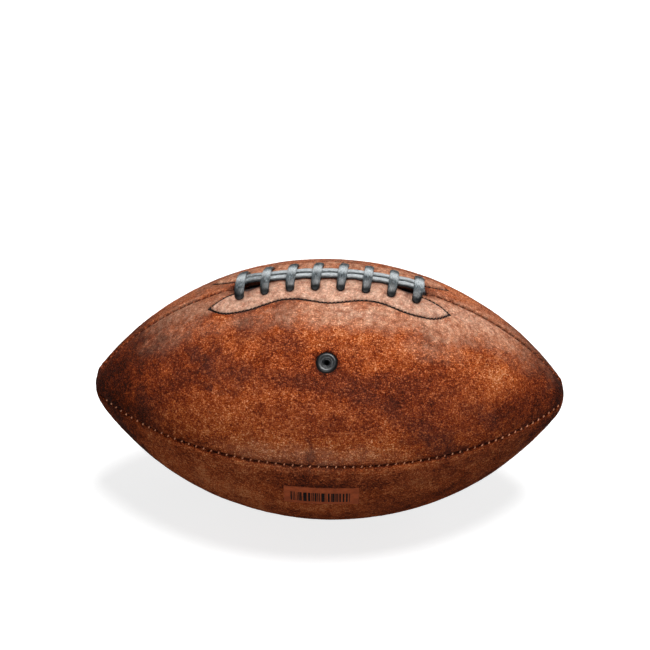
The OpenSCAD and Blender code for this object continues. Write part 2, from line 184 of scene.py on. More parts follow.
def pebbles(points, size, seed):
    """Rounded grain: 0 in the grooves and 1 on the crowns."""
    p = points / size
    base = np.floor(p)
    near = np.full(p.shape[:-1], 9.0)
    second = np.full(p.shape[:-1], 9.0)
    for step in np.ndindex(3, 3, 3):
        cell = base + np.array(step) - 1
        spot = cell + np.stack([lattice(cell, seed + k) for k in range(3)], axis=-1)
        away = np.linalg.norm(spot - p, axis=-1)
        second = np.minimum(second, np.maximum(near, away))
        near = np.minimum(near, away)
    return np.clip((second - near) * 1.6, 0, 1)


# ---- The sewn outline beside the lacing, as places (x, reach) on one side of the laced seam ----
def lobe_reach(x):
    return OUTLINE_REACH - OUTLINE_WAVE * (1 - np.cos(2 * np.pi * x / LOBE_PITCH)) / 2


def half_outline():
    x = np.linspace(0, DIVE_X, 40)
    quarter = np.linspace(0, QUARTER, 12)[1:]
    out = np.stack([DIVE_X + (TIP_X - DIVE_X) * np.sin(quarter),
                    TIP_REACH + (lobe_reach(DIVE_X) - TIP_REACH) * np.cos(quarter) ** 2], axis=1)
    back = np.stack([RETURN_X + (TIP_X - RETURN_X) * np.cos(quarter),
                     TIP_RETURN + (TIP_REACH - TIP_RETURN) * np.cos(quarter) ** 2], axis=1)
    return np.concatenate([np.stack([x, lobe_reach(x)], axis=1), out, back])


HALF_OUTLINE = half_outline()
OUTLINE = np.concatenate([HALF_OUTLINE[:0:-1] * [-1, 1], HALF_OUTLINE])


def outline_distance(x, reach):
    """Distance to the sewn line, positive on the lacing's side."""
    p = np.stack([x, reach], axis=-1)
    best = np.full(x.shape, 99.0)
    inside = np.zeros(x.shape, bool)
    ring = np.concatenate([[[-RETURN_X, -1.0]], OUTLINE, [[RETURN_X, -1.0]]])
    for k, (a, b) in enumerate(zip(ring, np.roll(ring, -1, axis=0))):
        run = b - a
        if 0 < k < len(ring) - 2:
            t = np.clip(((p - a) @ run) / (run @ run), 0, 1)
            best = np.minimum(best, np.linalg.norm(p - a - t[..., None] * run, axis=-1))
        crosses = (a[1] > reach) != (b[1] > reach)
        with np.errstate(divide="ignore", invalid="ignore"):
            cut = a[0] + (reach - a[1]) / (b[1] - a[1]) * run[0]
        inside ^= crosses & (x < cut)
    return np.where(inside, best, -best)


# ---- Relief of the leather: what stands out from or sinks into the plain surface ----
SWELLS = [(0.26, 38, 11), (0.12, 13, 12), (0.06, 5, 13)]    # height, size of the lumps, seed
NOSE_CALM = 3, 14                # radii between which the relief fades in from a nose
GRAIN_HEIGHT, GRAIN_SIZE, GRAIN_SEED = 0.12, 2.0, 21
SEAM_DRAWS = [(0.45, 1.6), (0.12, 7.0)]                     # depth and reach of the draw to a seam
PUCKER, PUCKER_RAGGED, PUCKER_REACH = 0.14, 0.16, 2.2
TOP_EDGE_RISE, TOP_EDGE_SCALLOP, TOP_EDGE_DROP = 0.25, 0.4, 0.35
RIPPLE, RIPPLE_REACH = 0.13, 24                             # on the lower panels, under a side seam
BULGE_BETWEEN_LACES, BULGE_BESIDE_LACES = 0.62, 0.7
HOLE_DIP, HOLE_LIP, HOLE_CREASE = 1.1, 0.25, 0.16
WRINKLE = 0.13
VALVE_SWELL, VALVE_DIP = (0.1, 8.4, 2.0), (0.25, 5.6, 1.4)      # height, radius and width of a ring
PAD_HEIGHT, SEWN_DEPTH, OUTER_SWELL = 0.5, 0.6, 0.24
LIP_ROLL, LIP_ROLL_WIDTH, LIP_DRAW, LIP_DRAW_WIDTH = 1.5, 1.9, 0.45, 6


def hole_places(side):
    """Places of one row of lace holes; side is 1 at the front and -1 at the back."""
    return [LACE_HALF - k * LACE_PITCH - side * LACE_LEAN / 2 for k in range(CROSS_LACES)]


def hole_reach(side):
    return FRONT_REACH if side > 0 else REAR_REACH


GAPE_LEFT, GAPE_RIGHT = {1: 6.6, -1: 0.8}, {1: 5.6, -1: 0.6}    # of the slot's ends, front and rear lip
GAPE_AT_DIVES, GAPE_BETWEEN = 1.2, 0.25


def slot_opening(x, side):
    """How far a lip of the laced slot is drawn away from its middle, most at the front's left end."""
    ends = GAPE_LEFT[side] * bell(x + 45.5, 6.5) + GAPE_RIGHT[side] * bell(x - 44.5, 5.5)
    dives = bell(np.abs(x) - DIVE_X, 3.5) * GAPE_AT_DIVES
    between = GAPE_BETWEEN * smooth_step(SLOT_HALF - np.abs(x), 0, 4)
    return np.maximum(np.maximum(ends, dives), between) * smooth_step(SLOT_HALF - np.abs(x), 0, 3)


def relief(x, turn):
    """Height of the finished leather over the plain ball; turn is from -pi to pi, front positive."""
    radius = radius_at(x)
    p = over_ball(x, turn, 0.0)
    seam = seam_distance(radius, turn)
    run = np.arcsin(np.clip(x / SIDE_RADIUS, -1, 1)) * SIDE_RADIUS
    calm = smooth_step(radius, *NOSE_CALM)
    height = sum(rise * clouds(p, size, seed) for rise, size, seed in SWELLS) * calm
    height += GRAIN_HEIGHT * (pebbles(p, GRAIN_SIZE, GRAIN_SEED) - 0.6) * calm
    height -= calm * sum(depth * np.exp(-seam / reach) for depth, reach in SEAM_DRAWS)
    pucker = np.cos(2 * np.pi * run / STITCH_PITCH + 1.1 * np.sign(np.cos(turn)))
    ragged = 0.5 + 0.5 * clouds(p, 3.0, 14)
    laced = (np.abs(turn) < TOP_TURN) & (np.abs(x) < SLOT_HALF + 2)
    gathered = (PUCKER * pucker + PUCKER_RAGGED * ragged) * bell(seam, PUCKER_REACH) * calm
    height += np.where(laced, 0, gathered)
    # On top the rear panel's turned edge stands up in small scallops over the front panel's
    on_top = (np.abs(turn) < TOP_TURN) * smooth_step(np.abs(x), SLOT_HALF + 1, SLOT_HALF + 7) * calm
    scallop = np.abs(np.cos(np.pi * run / STITCH_PITCH)) ** 0.6
    height += on_top * np.where(turn < 0, (TOP_EDGE_RISE + TOP_EDGE_SCALLOP * scallop) * bell(seam - 1.5, 1.3),
                                -TOP_EDGE_DROP * np.exp(-seam / 2.2))
    # The lower panels are rippled just under the front and rear seams
    below = (np.abs(turn) > QUARTER) & (seam < RIPPLE_REACH)
    ripple = clouds(p * np.array([0.35, 1.0, 1.6]), 4.2, 15)
    height += np.where(below, RIPPLE * ripple * smooth_step(RIPPLE_REACH - seam, 0, 12), 0) * calm
    # Dimple where the valve draws the panel in
    valve = valve_distance(x, turn)
    height += ring_bell(valve, *VALVE_SWELL) - ring_bell(valve, *VALVE_DIP)
    near = near_lacing(x, turn)
    if near.any():
        height[near] += lacing_relief(x[near], radius[near] * turn[near])
    return height


def lacing_relief(x, reach):
    """Relief of the facings: a padded field inside the sewn line, drawn in by the lacing."""
    side = np.where(reach < 0, -1, 1)
    s = np.abs(reach)
    away = outline_distance(x, s)
    height = PAD_HEIGHT * smooth_step(away, 0.3, 2.6) - SEWN_DEPTH * bell(away, 0.8)
    height += OUTER_SWELL * bell(away + 1.5, 0.8)
    inside = smooth_step(away, 0, 1.5)
    # The leather bulges between the cross laces and is drawn down under them
    row = np.where(side > 0, FRONT_REACH, REAR_REACH)
    crossing = LACE_HALF - side * LACE_LEAN / 2 * s / row - x
    wave = np.cos(2 * np.pi * crossing / LACE_PITCH)
    span = smooth_step(LACE_HALF + 6 - np.abs(x), 0, 4)
    height -= inside * span * (BULGE_BETWEEN_LACES * wave + 0.1) * bell(s - 7.5, 5.2)
    height += inside * BULGE_BESIDE_LACES * bell(s - 13, 7) * (0.7 - 0.35 * wave * span)
    for k in range(CROSS_LACES):
        hole = LACE_HALF - k * LACE_PITCH - side * LACE_LEAN / 2
        height -= HOLE_DIP * bell(np.hypot((x - hole) / 1.25, s - row), 2.5)
        height += HOLE_LIP * bell(np.hypot((x - hole) / 1.15, s - row - 0.6) - 4.0, 1.1)
        # Creases run out from the hole
        fan = np.arctan2(s - row - 1.5, x - hole + 0.3)
        far = np.hypot(x - hole, s - row)
        crease = bell(np.sin(fan * 2.5 + k * 1.7), 0.32) * smooth_step(s - row, 0, 2)
        height -= inside * HOLE_CREASE * crease * smooth_step(far, 2.5, 4.5) * smooth_step(11 - far, 0, 5)
    # The lips roll down into the slot
    slot = smooth_step(SLOT_HALF + 1.5 - np.abs(x), 0, 5)
    drawn = np.maximum(slot_opening(x, 1) * (side > 0), slot_opening(x, -1) * (side < 0))
    height -= slot * (LIP_ROLL * np.exp(-(s - np.minimum(s, drawn)) / LIP_ROLL_WIDTH)
                      + LIP_DRAW * np.exp(-s / LIP_DRAW_WIDTH))
    # Fine wrinkles gathered by the lacing
    wrinkle = clouds(np.stack([x * 1.6 + 0.8 * s, s * 0.55, np.zeros_like(x)], axis=-1), 3.1, 31)
    height += inside * WRINKLE * wrinkle * smooth_step(26 - s, 0, 8)
    return height


# ---- Dye, painted highlight and painted shade on the leather, laid on in strokes ----
# Each has its place along, degrees from the laced seam, half length, half width, direction, strength
STAINS = [
    (-47, 27, 9, 9, 0, 0.7), (-70, 45, 16, 5, 50, 0.65), (-62, 41, 13, 4, 60, 0.5),
    (-25, 23, 13, 2.6, 72, 0.6), (-27, 22, 12, 2.2, 112, 0.5), (-19, 20, 9, 2.2, 90, 0.5),
    (58, 27, 11, 5, 85, 0.5), (-84, 5, 13, 4, 10, 0.5), (-6, 53, 66, 5, 0, 0.36),
    (17, 57.5, 17, 5, 26, 0.5), (40, 67, 16, 5.5, 33, 0.5), (62, 80, 20, 8, 38, 0.6),
    (58, 62, 24, 17, 20, 0.25), (-8, 84, 9, 1.8, 90, 0.8), (-43, 84, 4, 10, 0, 0.3),
    (-95, 33, 12, 6, 30, 0.4), (20, 98, 84, 8, 0, 0.36), (38, 119, 22, 13, 0, 0.2),
    (-30, 121, 3, 14, 0, 0.3), (-52, 118, 2.5, 16, 0, 0.35), (-76, 113, 2.5, 16, 4, 0.3),
    (88, 68, 15, 5, 30, 0.5), (10, 38, 14, 4, 20, 0.3), (30, 34, 8, 4, 120, 0.35),
    (84, 28, 10, 4, 40, 0.4), (-82, 9, 22, 7, 0, 0.45), (-105, 78, 7, 12, 0, 0.4),
    (4, 69, 34, 9, 0, 0.25), (-25, 36, 12, 6, 0, 0.4), (-52, 49, 10, 6, 20, 0.55),
]
# Darkening strokes, partly painted shade, deepest towards the noses and on the underside
SHADES = [
    (-128, 55, 22, 60, 0, 0.9), (-112, 58, 14, 22, 0, 0.4), (-135, 90, 12, 40, 0, 0.8),
    (130, 45, 16, 30, 0, 0.6), (121, 60, 14, 5, 60, 0.5), (-88, 72, 22, 16, 20, 0.35),
    (-92, 54, 20, 14, 10, 0.35), (112, 75, 16, 12, 45, 0.5), (98, 112, 24, 18, 0, 0.15),
    (0, 134, 90, 12, 0, 0.3), (60, 66, 26, 16, 20, 0.15), (-106, 52, 14, 9, 0, 0.5), (56, 123, 20, 8, 0, 0.5),
    (4, 101, 34, 4, 0, 0.5),
]
GLOWS = [
    (-25, 80, 18, 13, 0, 0.9), (20, 84, 24, 9, 0, 0.8), (95, 45, 18, 10, 0, 0.75),
    (110, 13, 13, 7, 0, 0.7), (-59, 24, 6, 9, 0, 0.6), (-102, 96, 9, 5, 0, 0.9),
    (-70, 116, 54, 15, 0, 0.7), (-78, 62, 18, 12, 0, 0.3), (-10, 32, 30, 6, 10, 0.5),
    (35, 44, 18, 7, 0, 0.45), (-92, 47, 10, 10, 0, 0.4), (78, 40, 12, 8, 0, 0.4),
    (5, 34, 62, 9, 0, 0.55), (-8, 118, 34, 7, 0, 0.7), (54, 103, 12, 6, 20, 0.6),
    (83, 104, 14, 6, 0, 0.7), (108, 92, 10, 12, 0, 0.3), (-30, 62, 24, 8, 0, 0.3),
    (-60, 98, 40, 7, 0, 0.5), (-24, 83, 36, 9, 0, 1.0), (58, 80, 18, 7, 0, 0.6), (-79, 76, 20, 11, 0, 1.0),
    (-112, 70, 12, 10, 0, 0.4), (30, 67, 14, 5, 0, 0.6), (85, 62, 14, 8, 0, 0.6), (58, 36, 20, 6, 0, 0.6),
    (85, 40, 16, 9, 0, 0.6),
]
# Pale patches, partly worn leather and partly painted sheen and highlight near the lacing
PALES = [
    (80, 9, 34, 12, 0, 0.9), (-80, 6, 30, 8, 0, 0.6), (62, 20, 20, 10, 0, 0.86), (14, 22, 34, 7.5, 0, 0.9),
    (-45, 24, 20, 5, 0, 0.3), (-24, 86, 26, 6, 0, 0.24), (8, 86, 26, 5, 0, 0.22), (58, 36, 14, 5, 0, 0.3),
    (-92, 21, 18, 9, 0, 0.35), (-20, -13, 70, 14, 0, 0.4), (80, -9, 40, 9, 0, 0.25), (-92, -9, 34, 9, 0, 0.2),
]


def brushed(strokes, x, degrees, points, rough=1.0):
    """Amount of dye from strokes with ragged edges."""
    radius = np.maximum(radius_at(x), 4)
    amount = np.zeros_like(x)
    drift = 3.4 * clouds(points, 9, 41) + 1.6 * clouds(points, 3.4, 42)
    lift = 3.4 * clouds(points, 9, 43) + 1.6 * clouds(points, 3.4, 44)
    ragged = 0.75 + rough * (0.35 * clouds(points, 5.5, 45) + 0.3 * clouds(points, 2.2, 46))
    for place, angle, half_length, half_width, heading, strength in strokes:
        swing = (degrees - angle + 180) % 360 - 180
        along, across = x - place + drift, np.radians(swing) * radius + lift
        c, s = math.cos(math.radians(heading)), math.sin(math.radians(heading))
        far = np.hypot((along * c + across * s) / half_length, (across * c - along * s) / half_width)
        amount = np.maximum(amount, strength * (1 - smooth_step(far * ragged, 0.25, 1.5)))
    return amount


def hidden_strokes(count, seed, strength):
    """Strokes of the same kind for the back and the underside."""
    draw = np.random.default_rng(seed)
    return [(draw.uniform(-125, 125), draw.uniform(138, 350), draw.uniform(8, 34), draw.uniform(4, 13),
             draw.uniform(-60, 60), draw.uniform(0.4, 1) * strength) for _ in range(count)]


STAINS += hidden_strokes(34, 51, 0.85)
SHADES += hidden_strokes(12, 54, 0.5)
GLOWS += hidden_strokes(26, 52, 0.85)
PALES += hidden_strokes(7, 53, 0.3)


def paint_dye_and_light(piece):
    """Paints the leather's colour attribute: red for stains, green for glowing patches and a painted highlight
    on the top seam's raised lip, blue for pale worn patches and painted sheen, alpha for darkening: dark seam
    edges deepened by painted shade, noses darkened partly as painted shade, and painted shade in the sewn
    groove, the slot, the lace holes and under the laces."""
    mesh = piece.data
    p = np.zeros(len(mesh.vertices) * 3)
    mesh.vertices.foreach_get("co", p)
    p = p.reshape(-1, 3) / MM
    x = p[:, 0]
    turn = np.arctan2(-p[:, 1], p[:, 2] - BALL_RADIUS)
    degrees = np.degrees(turn)
    radius = radius_at(x)
    stain = brushed(STAINS, x, degrees, p)
    glow = brushed(GLOWS, x, degrees, p)
    pale = brushed(PALES, x, degrees, p, 0.2)
    seam = seam_distance(radius, turn)
    # Dark seam edges, deepened by painted shade in the seam groove; on top, a wider band of painted shade on
    # the front side, under the rear panel's raised lip
    on_top = (np.abs(turn) < TOP_TURN) * smooth_step(np.abs(x), SLOT_HALF, SLOT_HALF + 5)
    top_edge = np.where(turn > 0, np.exp(-(seam / 1.9) ** 4), bell(seam, 0.8))
    edge = bell(seam, 1.15) * (1 - on_top) + on_top * (1.25 * top_edge)
    # Brightened on the raised lip of the top seam, a painted highlight, and in a band just under the side
    # seams
    under = (turn > QUARTER) * (turn < 2.6) * smooth_step(110 - np.abs(x), 0, 30)
    glow = np.maximum(glow, 0.9 * on_top * (turn < 0) * bell(seam - 1.7, 1.2))
    glow = np.maximum(glow, 0.8 * under * bell(seam - 3.2, 2.4))
    # The facings are worn pale inside the sewn line, partly a painted sheen; painted shade darkens the sewn
    # groove, the slot and its ends under the laces, and the lace holes
    near = near_lacing(x, turn)
    at_x, reach = x[near], (turn * radius)[near]
    away = outline_distance(at_x, np.abs(reach))
    faced = smooth_step(away, -0.5, 0.8)
    pale[near] = np.maximum(pale[near] * (1 - faced), faced * np.where(reach > 0, 1.0, 0.74))
    stain[near] *= 1 - 0.8 * faced
    glow[near] *= 1 - faced
    lips = np.maximum(np.abs(reach) - slot_opening(at_x, 1) * (reach > 0), 0)
    ends = np.maximum(bell(at_x + 45, 7), bell(at_x - 45, 8))
    marks = [edge[near] * (1 - 0.6 * faced) + 0.8 * bell(away, 0.8),
             0.9 * bell(np.hypot(np.abs(at_x) - DIVE_X, reach), 6),
             faced * bell(lips, 5.0), faced * ends * bell(lips, 6.0)]
    marks += [0.8 * bell(np.hypot((at_x - hole) / 1.2, reach - side * hole_reach(side)), 2.6)
              for side in (-1, 1) for hole in hole_places(side)]
    edge[near] = np.maximum.reduce(marks)
    # The noses are darkened, partly as painted shade; the leather round the valve's hole is darkened too, and
    # the SHADES strokes add dark strokes, partly painted shade
    tip = smooth_step(np.abs(x), 122, 141)
    edge = np.maximum.reduce([edge, 0.75 * bell(valve_distance(x, turn) - 5.5, 2.2), 0.95 * tip,
                              brushed(SHADES, x, degrees, p, 0.5)])
    layer = mesh.attributes.new("dye_and_painted_light", "FLOAT_COLOR", "POINT")
    layer.data.foreach_set("color", np.clip(np.stack([stain, glow, pale, edge], axis=1), 0, 1).ravel())


# ---- Meshes ----
def add_object(name, data):
    made = bpy.data.objects.new(name, data)
    bpy.context.scene.collection.objects.link(made)
    return made


def evaluated_mesh(piece):
    """The mesh of a piece with its modifiers, as a plain one."""
    bpy.context.view_layer.update()
    return bpy.data.meshes.new_from_object(piece.evaluated_get(bpy.context.evaluated_depsgraph_get()))


def volume(points, faces):
    """Positive for a closed shape whose faces point outwards."""
    total = 0.0
    for corners in sorted(set(map(len, faces))):
        flat = points[np.array([face for face in faces if len(face) == corners])]
        for k in range(1, corners - 1):
            total += (flat[:, 0] * np.cross(flat[:, k], flat[:, k + 1])).sum()
    return total


def new_piece(name, points, faces, smooth=True):
    """A piece from points in millimetres; its faces are turned outwards."""
    points = np.asarray(points, float).reshape(-1, 3)
    centre = points.mean(axis=0)
    if volume(points - centre, faces) < 0:
        faces = [tuple(reversed(face)) for face in faces]
    mesh = bpy.data.meshes.new(name)
    mesh.from_pydata((points * MM).tolist(), [], faces)
    mesh.polygons.foreach_set("use_smooth", [smooth] * len(faces))
    mesh.update()
    return add_object(name, mesh)


def band_quads(a, b, count):
    """Quads between two closed rings of points that begin at a and b."""
    return [(a + j, a + (j + 1) % count, b + (j + 1) % count, b + j) for j in range(count)]


def tube_faces(rings, around, first=0):
    """Quads of a closed tube, with a flat end on each side."""
    starts = [first + i * around for i in range(rings)]
    faces = [quad for a, b in zip(starts, starts[1:]) for quad in band_quads(a, b, around)]
    faces.append(tuple(first + j for j in reversed(range(around))))
    faces.append(tuple(starts[-1] + j for j in range(around)))
    return faces


def finish_piece(piece, material, slot, *replaced):
    piece.data.materials.clear()
    piece.data.materials.append(material)
    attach(piece, BODY)
    if replaced:
        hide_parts(*replaced)
    return piece


LEAST_LEFT = 0.8                 # of a piece's points, when a cut has gone well


def cut_away(piece, cutter):
    """Cuts the cutter's shape out of a piece, and checks that something was left and cut."""
    before = len(piece.data.vertices)
    for solver in ("MANIFOLD", "EXACT"):
        cut = piece.modifiers.new("cut", "BOOLEAN")
        cut.operation, cut.object = "DIFFERENCE", cutter
        try:
            cut.solver = solver
        except TypeError:
            piece.modifiers.remove(cut)
            continue
        result = evaluated_mesh(piece)
        piece.modifiers.remove(cut)
        if before * LEAST_LEFT < len(result.vertices) != before:
            piece.data = result
            break
    bpy.data.objects.remove(cutter)


COLUMN_SIDES = 28
COLUMN_TOP, COLUMN_BOTTOM = 4, -5    # clear of the leather on both sides


def column(x, reach, half_x, half_reach, sides=COLUMN_SIDES):
    """Points of an oval column standing square to the ball."""
    t = np.arange(sides) * 2 * np.pi / sides
    centre = from_seam(np.array(float(x)), reach, 0.0)
    turn, tilt = reach / radius_at(x), tilt_at(x)
    up = outward(np.array(float(x)), turn)
    along = np.array([math.cos(tilt), math.sin(tilt) * math.sin(turn), -math.sin(tilt) * math.cos(turn)])
    across = np.cross(up, along)
    ring = half_x * np.cos(t)[:, None] * along + half_reach * np.sin(t)[:, None] * across
    return np.concatenate([centre + ring + up * COLUMN_BOTTOM, centre + ring + up * COLUMN_TOP])


def column_cutter(columns, sides=COLUMN_SIDES):
    faces = [face for k in range(len(columns)) for face in tube_faces(2, sides, 2 * sides * k)]
    return new_piece("cutter", np.concatenate(columns), faces, False)


# ---- The four panels: closed skins with turned edges ----
ROWS, SKIN_COLUMNS, INNER_COLUMNS = 404, 196, 14
ROUND_STEPS = np.radians([0, 16, 32, 48, 64, 80])
POLE_GAP = 0.35                  # from the last row of points to the nose
CROWDED_ROWS, CROWDED_COLUMNS = 0.06, 0.03    # how much closer the points are at the noses and seams


def edge_section(leather, gap, rim, bottom):
    """Distances from the seam, depths and share of the relief, from the inner corner outwards."""
    section = [(gap + leather, leather, 0), (gap + leather, bottom, 0), (gap, bottom, 0),
               (gap, bottom + (rim - bottom) * 0.4, 0), (gap, bottom + (rim - bottom) * 0.8, 0)]
    section += [(gap + rim * (1 - math.cos(t)), rim * (1 - math.sin(t)), math.sin(t)) for t in ROUND_STEPS]
    return section


def make_panel(name, quarter, laced_edge=None):
    """One panel; quarter counts from the laced seam towards the front."""
    run = np.linspace(-1, 1, ROWS)
    run = (HALF_RUN - POLE_GAP) * np.sign(run) * (
        (1 - CROWDED_ROWS) * np.abs(run) + CROWDED_ROWS * (1 - (1 - np.abs(run)) ** 3))
    x, radius, tilt = (value[:, None] for value in meridian(run))
    leather = np.minimum(LEATHER, 0.3 * radius)
    gap = np.minimum(SEAM_GAP, 0.1 * radius)
    rim = np.minimum(LEATHER, 0.4 * radius)
    deepest = 0.75 * (radius - 1.5 * leather) / np.maximum(np.abs(np.cos(tilt)), 0.3)
    bottom = np.clip(deepest, 1.05 * leather, SEAM_DEPTH)
    in_slot = smooth_step(SLOT_HALF + 1 - np.abs(x), 0, 1.5)
    opening = slot_opening(x, 1 if quarter == 0 else -1) * in_slot
    lip = bottom + (FACING_BACK - bottom) * in_slot
    lip = lip + (LEATHER * 1.02 - lip) * smooth_step(opening, 0.3, 0.8)
    edges = {}
    for edge in ("first", "second"):
        laced = edge == laced_edge
        edges[edge] = []
        for away, depth, share in edge_section(leather, gap, rim, lip if laced else bottom):
            inner = radius - depth * np.cos(tilt)
            turn = np.arcsin(np.clip((away + (opening if laced else 0)) / inner, 0, 0.95))
            edges[edge].append((turn if edge == "first" else QUARTER - turn, depth, share))
    first, second = edges["first"], edges["second"][::-1]
    start, end = first[-1][0], second[0][0]
    steps = np.linspace(0, 1, SKIN_COLUMNS + 2)[1:-1]
    steps = steps - CROWDED_COLUMNS * np.sin(2 * np.pi * steps)
    skin = [(start + (end - start) * step, 0, 1) for step in steps]
    inner_start, inner_end = second[-1][0], first[0][0]
    back = [(inner_start + (inner_end - inner_start) * step, leather, 0)
            for step in np.linspace(0, 1, INNER_COLUMNS + 2)[1:-1]]
    columns = first + skin + second + back
    turn, depth, share = (np.concatenate([value + 0 * radius for value in values], axis=1)
                          for values in zip(*columns))
    turn = turn + quarter * QUARTER
    signed = (turn + np.pi) % (2 * np.pi) - np.pi
    xs = np.broadcast_to(x, turn.shape)
    # The relief fades out round the turned edges, and the back of the leather has none
    drop = np.zeros(turn.shape)
    lit = share > 0
    drop[lit] = relief(xs[lit], signed[lit]) * share[lit]
    drop -= depth
    count = turn.shape[1]
    points = laid(x + drop * np.sin(tilt), radius + drop * np.cos(tilt), turn).reshape(-1, 3)
    faces = [quad for i in range(ROWS - 1) for quad in band_quads(i * count, (i + 1) * count, count)]
    for row, order in ((0, 1), (ROWS - 1, -1)):
        first = row * count
        points = np.concatenate([points, [points[first:first + count].mean(axis=0)]])
        faces += [(len(points) - 1,) + (first + j, first + (j + 1) % count)[::-order] for j in range(count)]
    return new_piece(name, points, faces)


panels = {
    "front_upper_panel": make_panel("front_upper_panel_skin", 0, "first"),
    "front_lower_panel": make_panel("front_lower_panel_skin", 1),
    "rear_lower_panel": make_panel("rear_lower_panel_skin", 2),
    "rear_upper_panel": make_panel("rear_upper_panel_skin", 3, "second"),
}
HOLE_HALF_X, HOLE_HALF_REACH = 2.15, 1.55
for side, name in ((1, "front_upper_panel"), (-1, "rear_upper_panel")):
    cut_away(panels[name], column_cutter([
        column(place, side * hole_reach(side), HOLE_HALF_X, HOLE_HALF_REACH) for place in hole_places(side)]))
    cut_away(panels[name], column_cutter([
        column(end * DIVE_X, 0, DIVE_RADIUS, DIVE_RADIUS) for end in (-1, 1)]))
cut_away(panels["front_upper_panel"],
         column_cutter([column(0, VALVE_TURN * BALL_RADIUS, VALVE_HEAD, VALVE_HEAD, 64)], 64))
for piece in panels.values():
    paint_dye_and_light(piece)


# ---- The lace: one flat band, along the slot and back and then across it, hole by hole ----
STRAND_HEIGHT = CLEARANCE + STRAND_THICK / 2 + 0.25
CREST_HEIGHT = STRAND_HEIGHT + STRAND_THICK / 2 + 0.7 + LACE_THICK / 2
MID_HEIGHT = -FACING_BACK / 2
LACE_BACK = FACING_BACK + 0.9 + LACE_THICK / 2
UNDER_DROP = LACE_BACK + MID_HEIGHT
DIVE_BEND, TAIL_RUN = 2.2, 9.0
LOOP_RINGS, STRAND_RINGS = 24, 14
HOLE_WIDTH, HOLE_THICK, FOLD_WIDTH = 4.6, 2.0, 2.4
LOOP_WIDTH, END_LOOPS_WIDER = 5.5, 1.12
LOOP_HIGHLIGHT, STRAND_HIGHLIGHT = 0.56, 0.42    # how far the tops are lightened, by wear and as a painted highlight


# Each row of the lace has its place along, reach, height, turn of its flat side in degrees, width, thickness
def strand(side, heading):
    return [[heading * (2 * i / STRAND_RINGS - 1) * (DIVE_X - DIVE_BEND), side * STRAND_OFFSET, STRAND_HEIGHT,
             90, STRAND_WIDTH, STRAND_THICK] for i in range(STRAND_RINGS + 1)]


def dive(side, end):
    rows = [[end * (DIVE_X - DIVE_BEND * (1 - math.sin(a))), side * STRAND_OFFSET,
             STRAND_HEIGHT - DIVE_BEND * (1 - math.cos(a)), 90, STRAND_WIDTH, STRAND_THICK]
            for a in np.radians([30, 60, 90])]
    return rows + [[end * DIVE_X, side * STRAND_OFFSET, MID_HEIGHT, 45, FOLD_WIDTH, STRAND_THICK]]


def fold(end):
    return [[end * DIVE_X, STRAND_OFFSET * math.cos(a),
             STRAND_OFFSET - LACE_BACK - STRAND_OFFSET * math.sin(a), 0, FOLD_WIDTH, STRAND_THICK]
            for a in np.radians(np.arange(0, 181, 30))]


def bend_out(side, end):
    return [[end * DIVE_X, side * (STRAND_OFFSET + DIVE_BEND * (1 - math.cos(a))),
             DIVE_BEND * (1 - math.sin(a)) - LACE_BACK, 0, FOLD_WIDTH, STRAND_THICK]
            for a in np.radians([0, 45, 90])]


def loop_place(a):
    """Reach and height of a cross lace at an angle round it, in degrees."""
    c, s = math.cos(math.radians(a)), math.sin(math.radians(a))
    row = REAR_REACH if c > 0 else FRONT_REACH
    if a <= 180:
        return -row * c, MID_HEIGHT + (CREST_HEIGHT - MID_HEIGHT) * s ** 0.9
    power = 2 / 3.5
    return -row * math.copysign(abs(c) ** power, c), MID_HEIGHT - UNDER_DROP * abs(s) ** power


def loop_row(x, a, wide=1.0):
    s = abs(math.sin(math.radians(a)))
    reach, height = loop_place(a)
    over = s ** 0.6 if a <= 180 else s
    return [x, reach, height, 0, HOLE_WIDTH + (LOOP_WIDTH * wide - HOLE_WIDTH) * over,
            HOLE_THICK + (LACE_THICK - HOLE_THICK) * s]


def step_share(a):
    return (FRONT_REACH - loop_place(a)[0]) / (FRONT_REACH + REAR_REACH)


def cross_loop(k, rings):
    rows = []
    x = LACE_HALF - k * LACE_PITCH
    wide = END_LOOPS_WIDER if k in (0, CROSS_LACES - 1) else 1.0
    for i in range(rings):
        a = 360 * i / LOOP_RINGS
        place = (x + LACE_LEAN / 2 * math.cos(math.radians(a)) if a <= 180 else
                 x - LACE_LEAN / 2 - (LACE_PITCH - LACE_LEAN) * step_share(a))
        rows.append(loop_row(place, a, wide))
    return rows


def lace_route():
    far = LACE_HALF + LACE_LEAN / 2
    rows = [[DIVE_X + LACE_THICK * (1 - i), STRAND_OFFSET + DIVE_BEND + TAIL_RUN * (1 - i), -LACE_BACK,
             0, HOLE_WIDTH, LACE_THICK] for i in (0, 0.5)]
    rows += bend_out(1, 1)[::-1] + dive(1, 1)[::-1] + strand(1, -1) + dive(1, -1) + fold(-1)
    rows += dive(-1, -1)[::-1] + strand(-1, 1) + dive(-1, 1) + bend_out(-1, 1)
    rows += [loop_row(far + (DIVE_X - far) * (1 - step_share(a)), a) for a in range(300, 346, 15)]
    for k in range(CROSS_LACES - 1):
        rows += cross_loop(k, LOOP_RINGS)
    rows += cross_loop(CROSS_LACES - 1, LOOP_RINGS // 2)
    rows += [loop_row(-far - 4.8 * step_share(a), a) for a in range(180, 241, 15)]
    return np.array(rows, float)


def refined(rows, pieces):
    """A smooth curve through rows of values."""
    padded = np.concatenate([2 * rows[:1] - rows[1:2], rows, 2 * rows[-1:] - rows[-2:-1]])
    out = []
    for i in range(1, len(padded) - 2):
        a, b, c, d = padded[i - 1:i + 3]
        for t in np.arange(pieces) / pieces:
            out.append(0.5 * (2 * b + (c - a) * t + (2 * a - 5 * b + 4 * c - d) * t ** 2
                              + (3 * b - a - 3 * c + d) * t ** 3))
    out.append(rows[-1])
    return np.array(out)


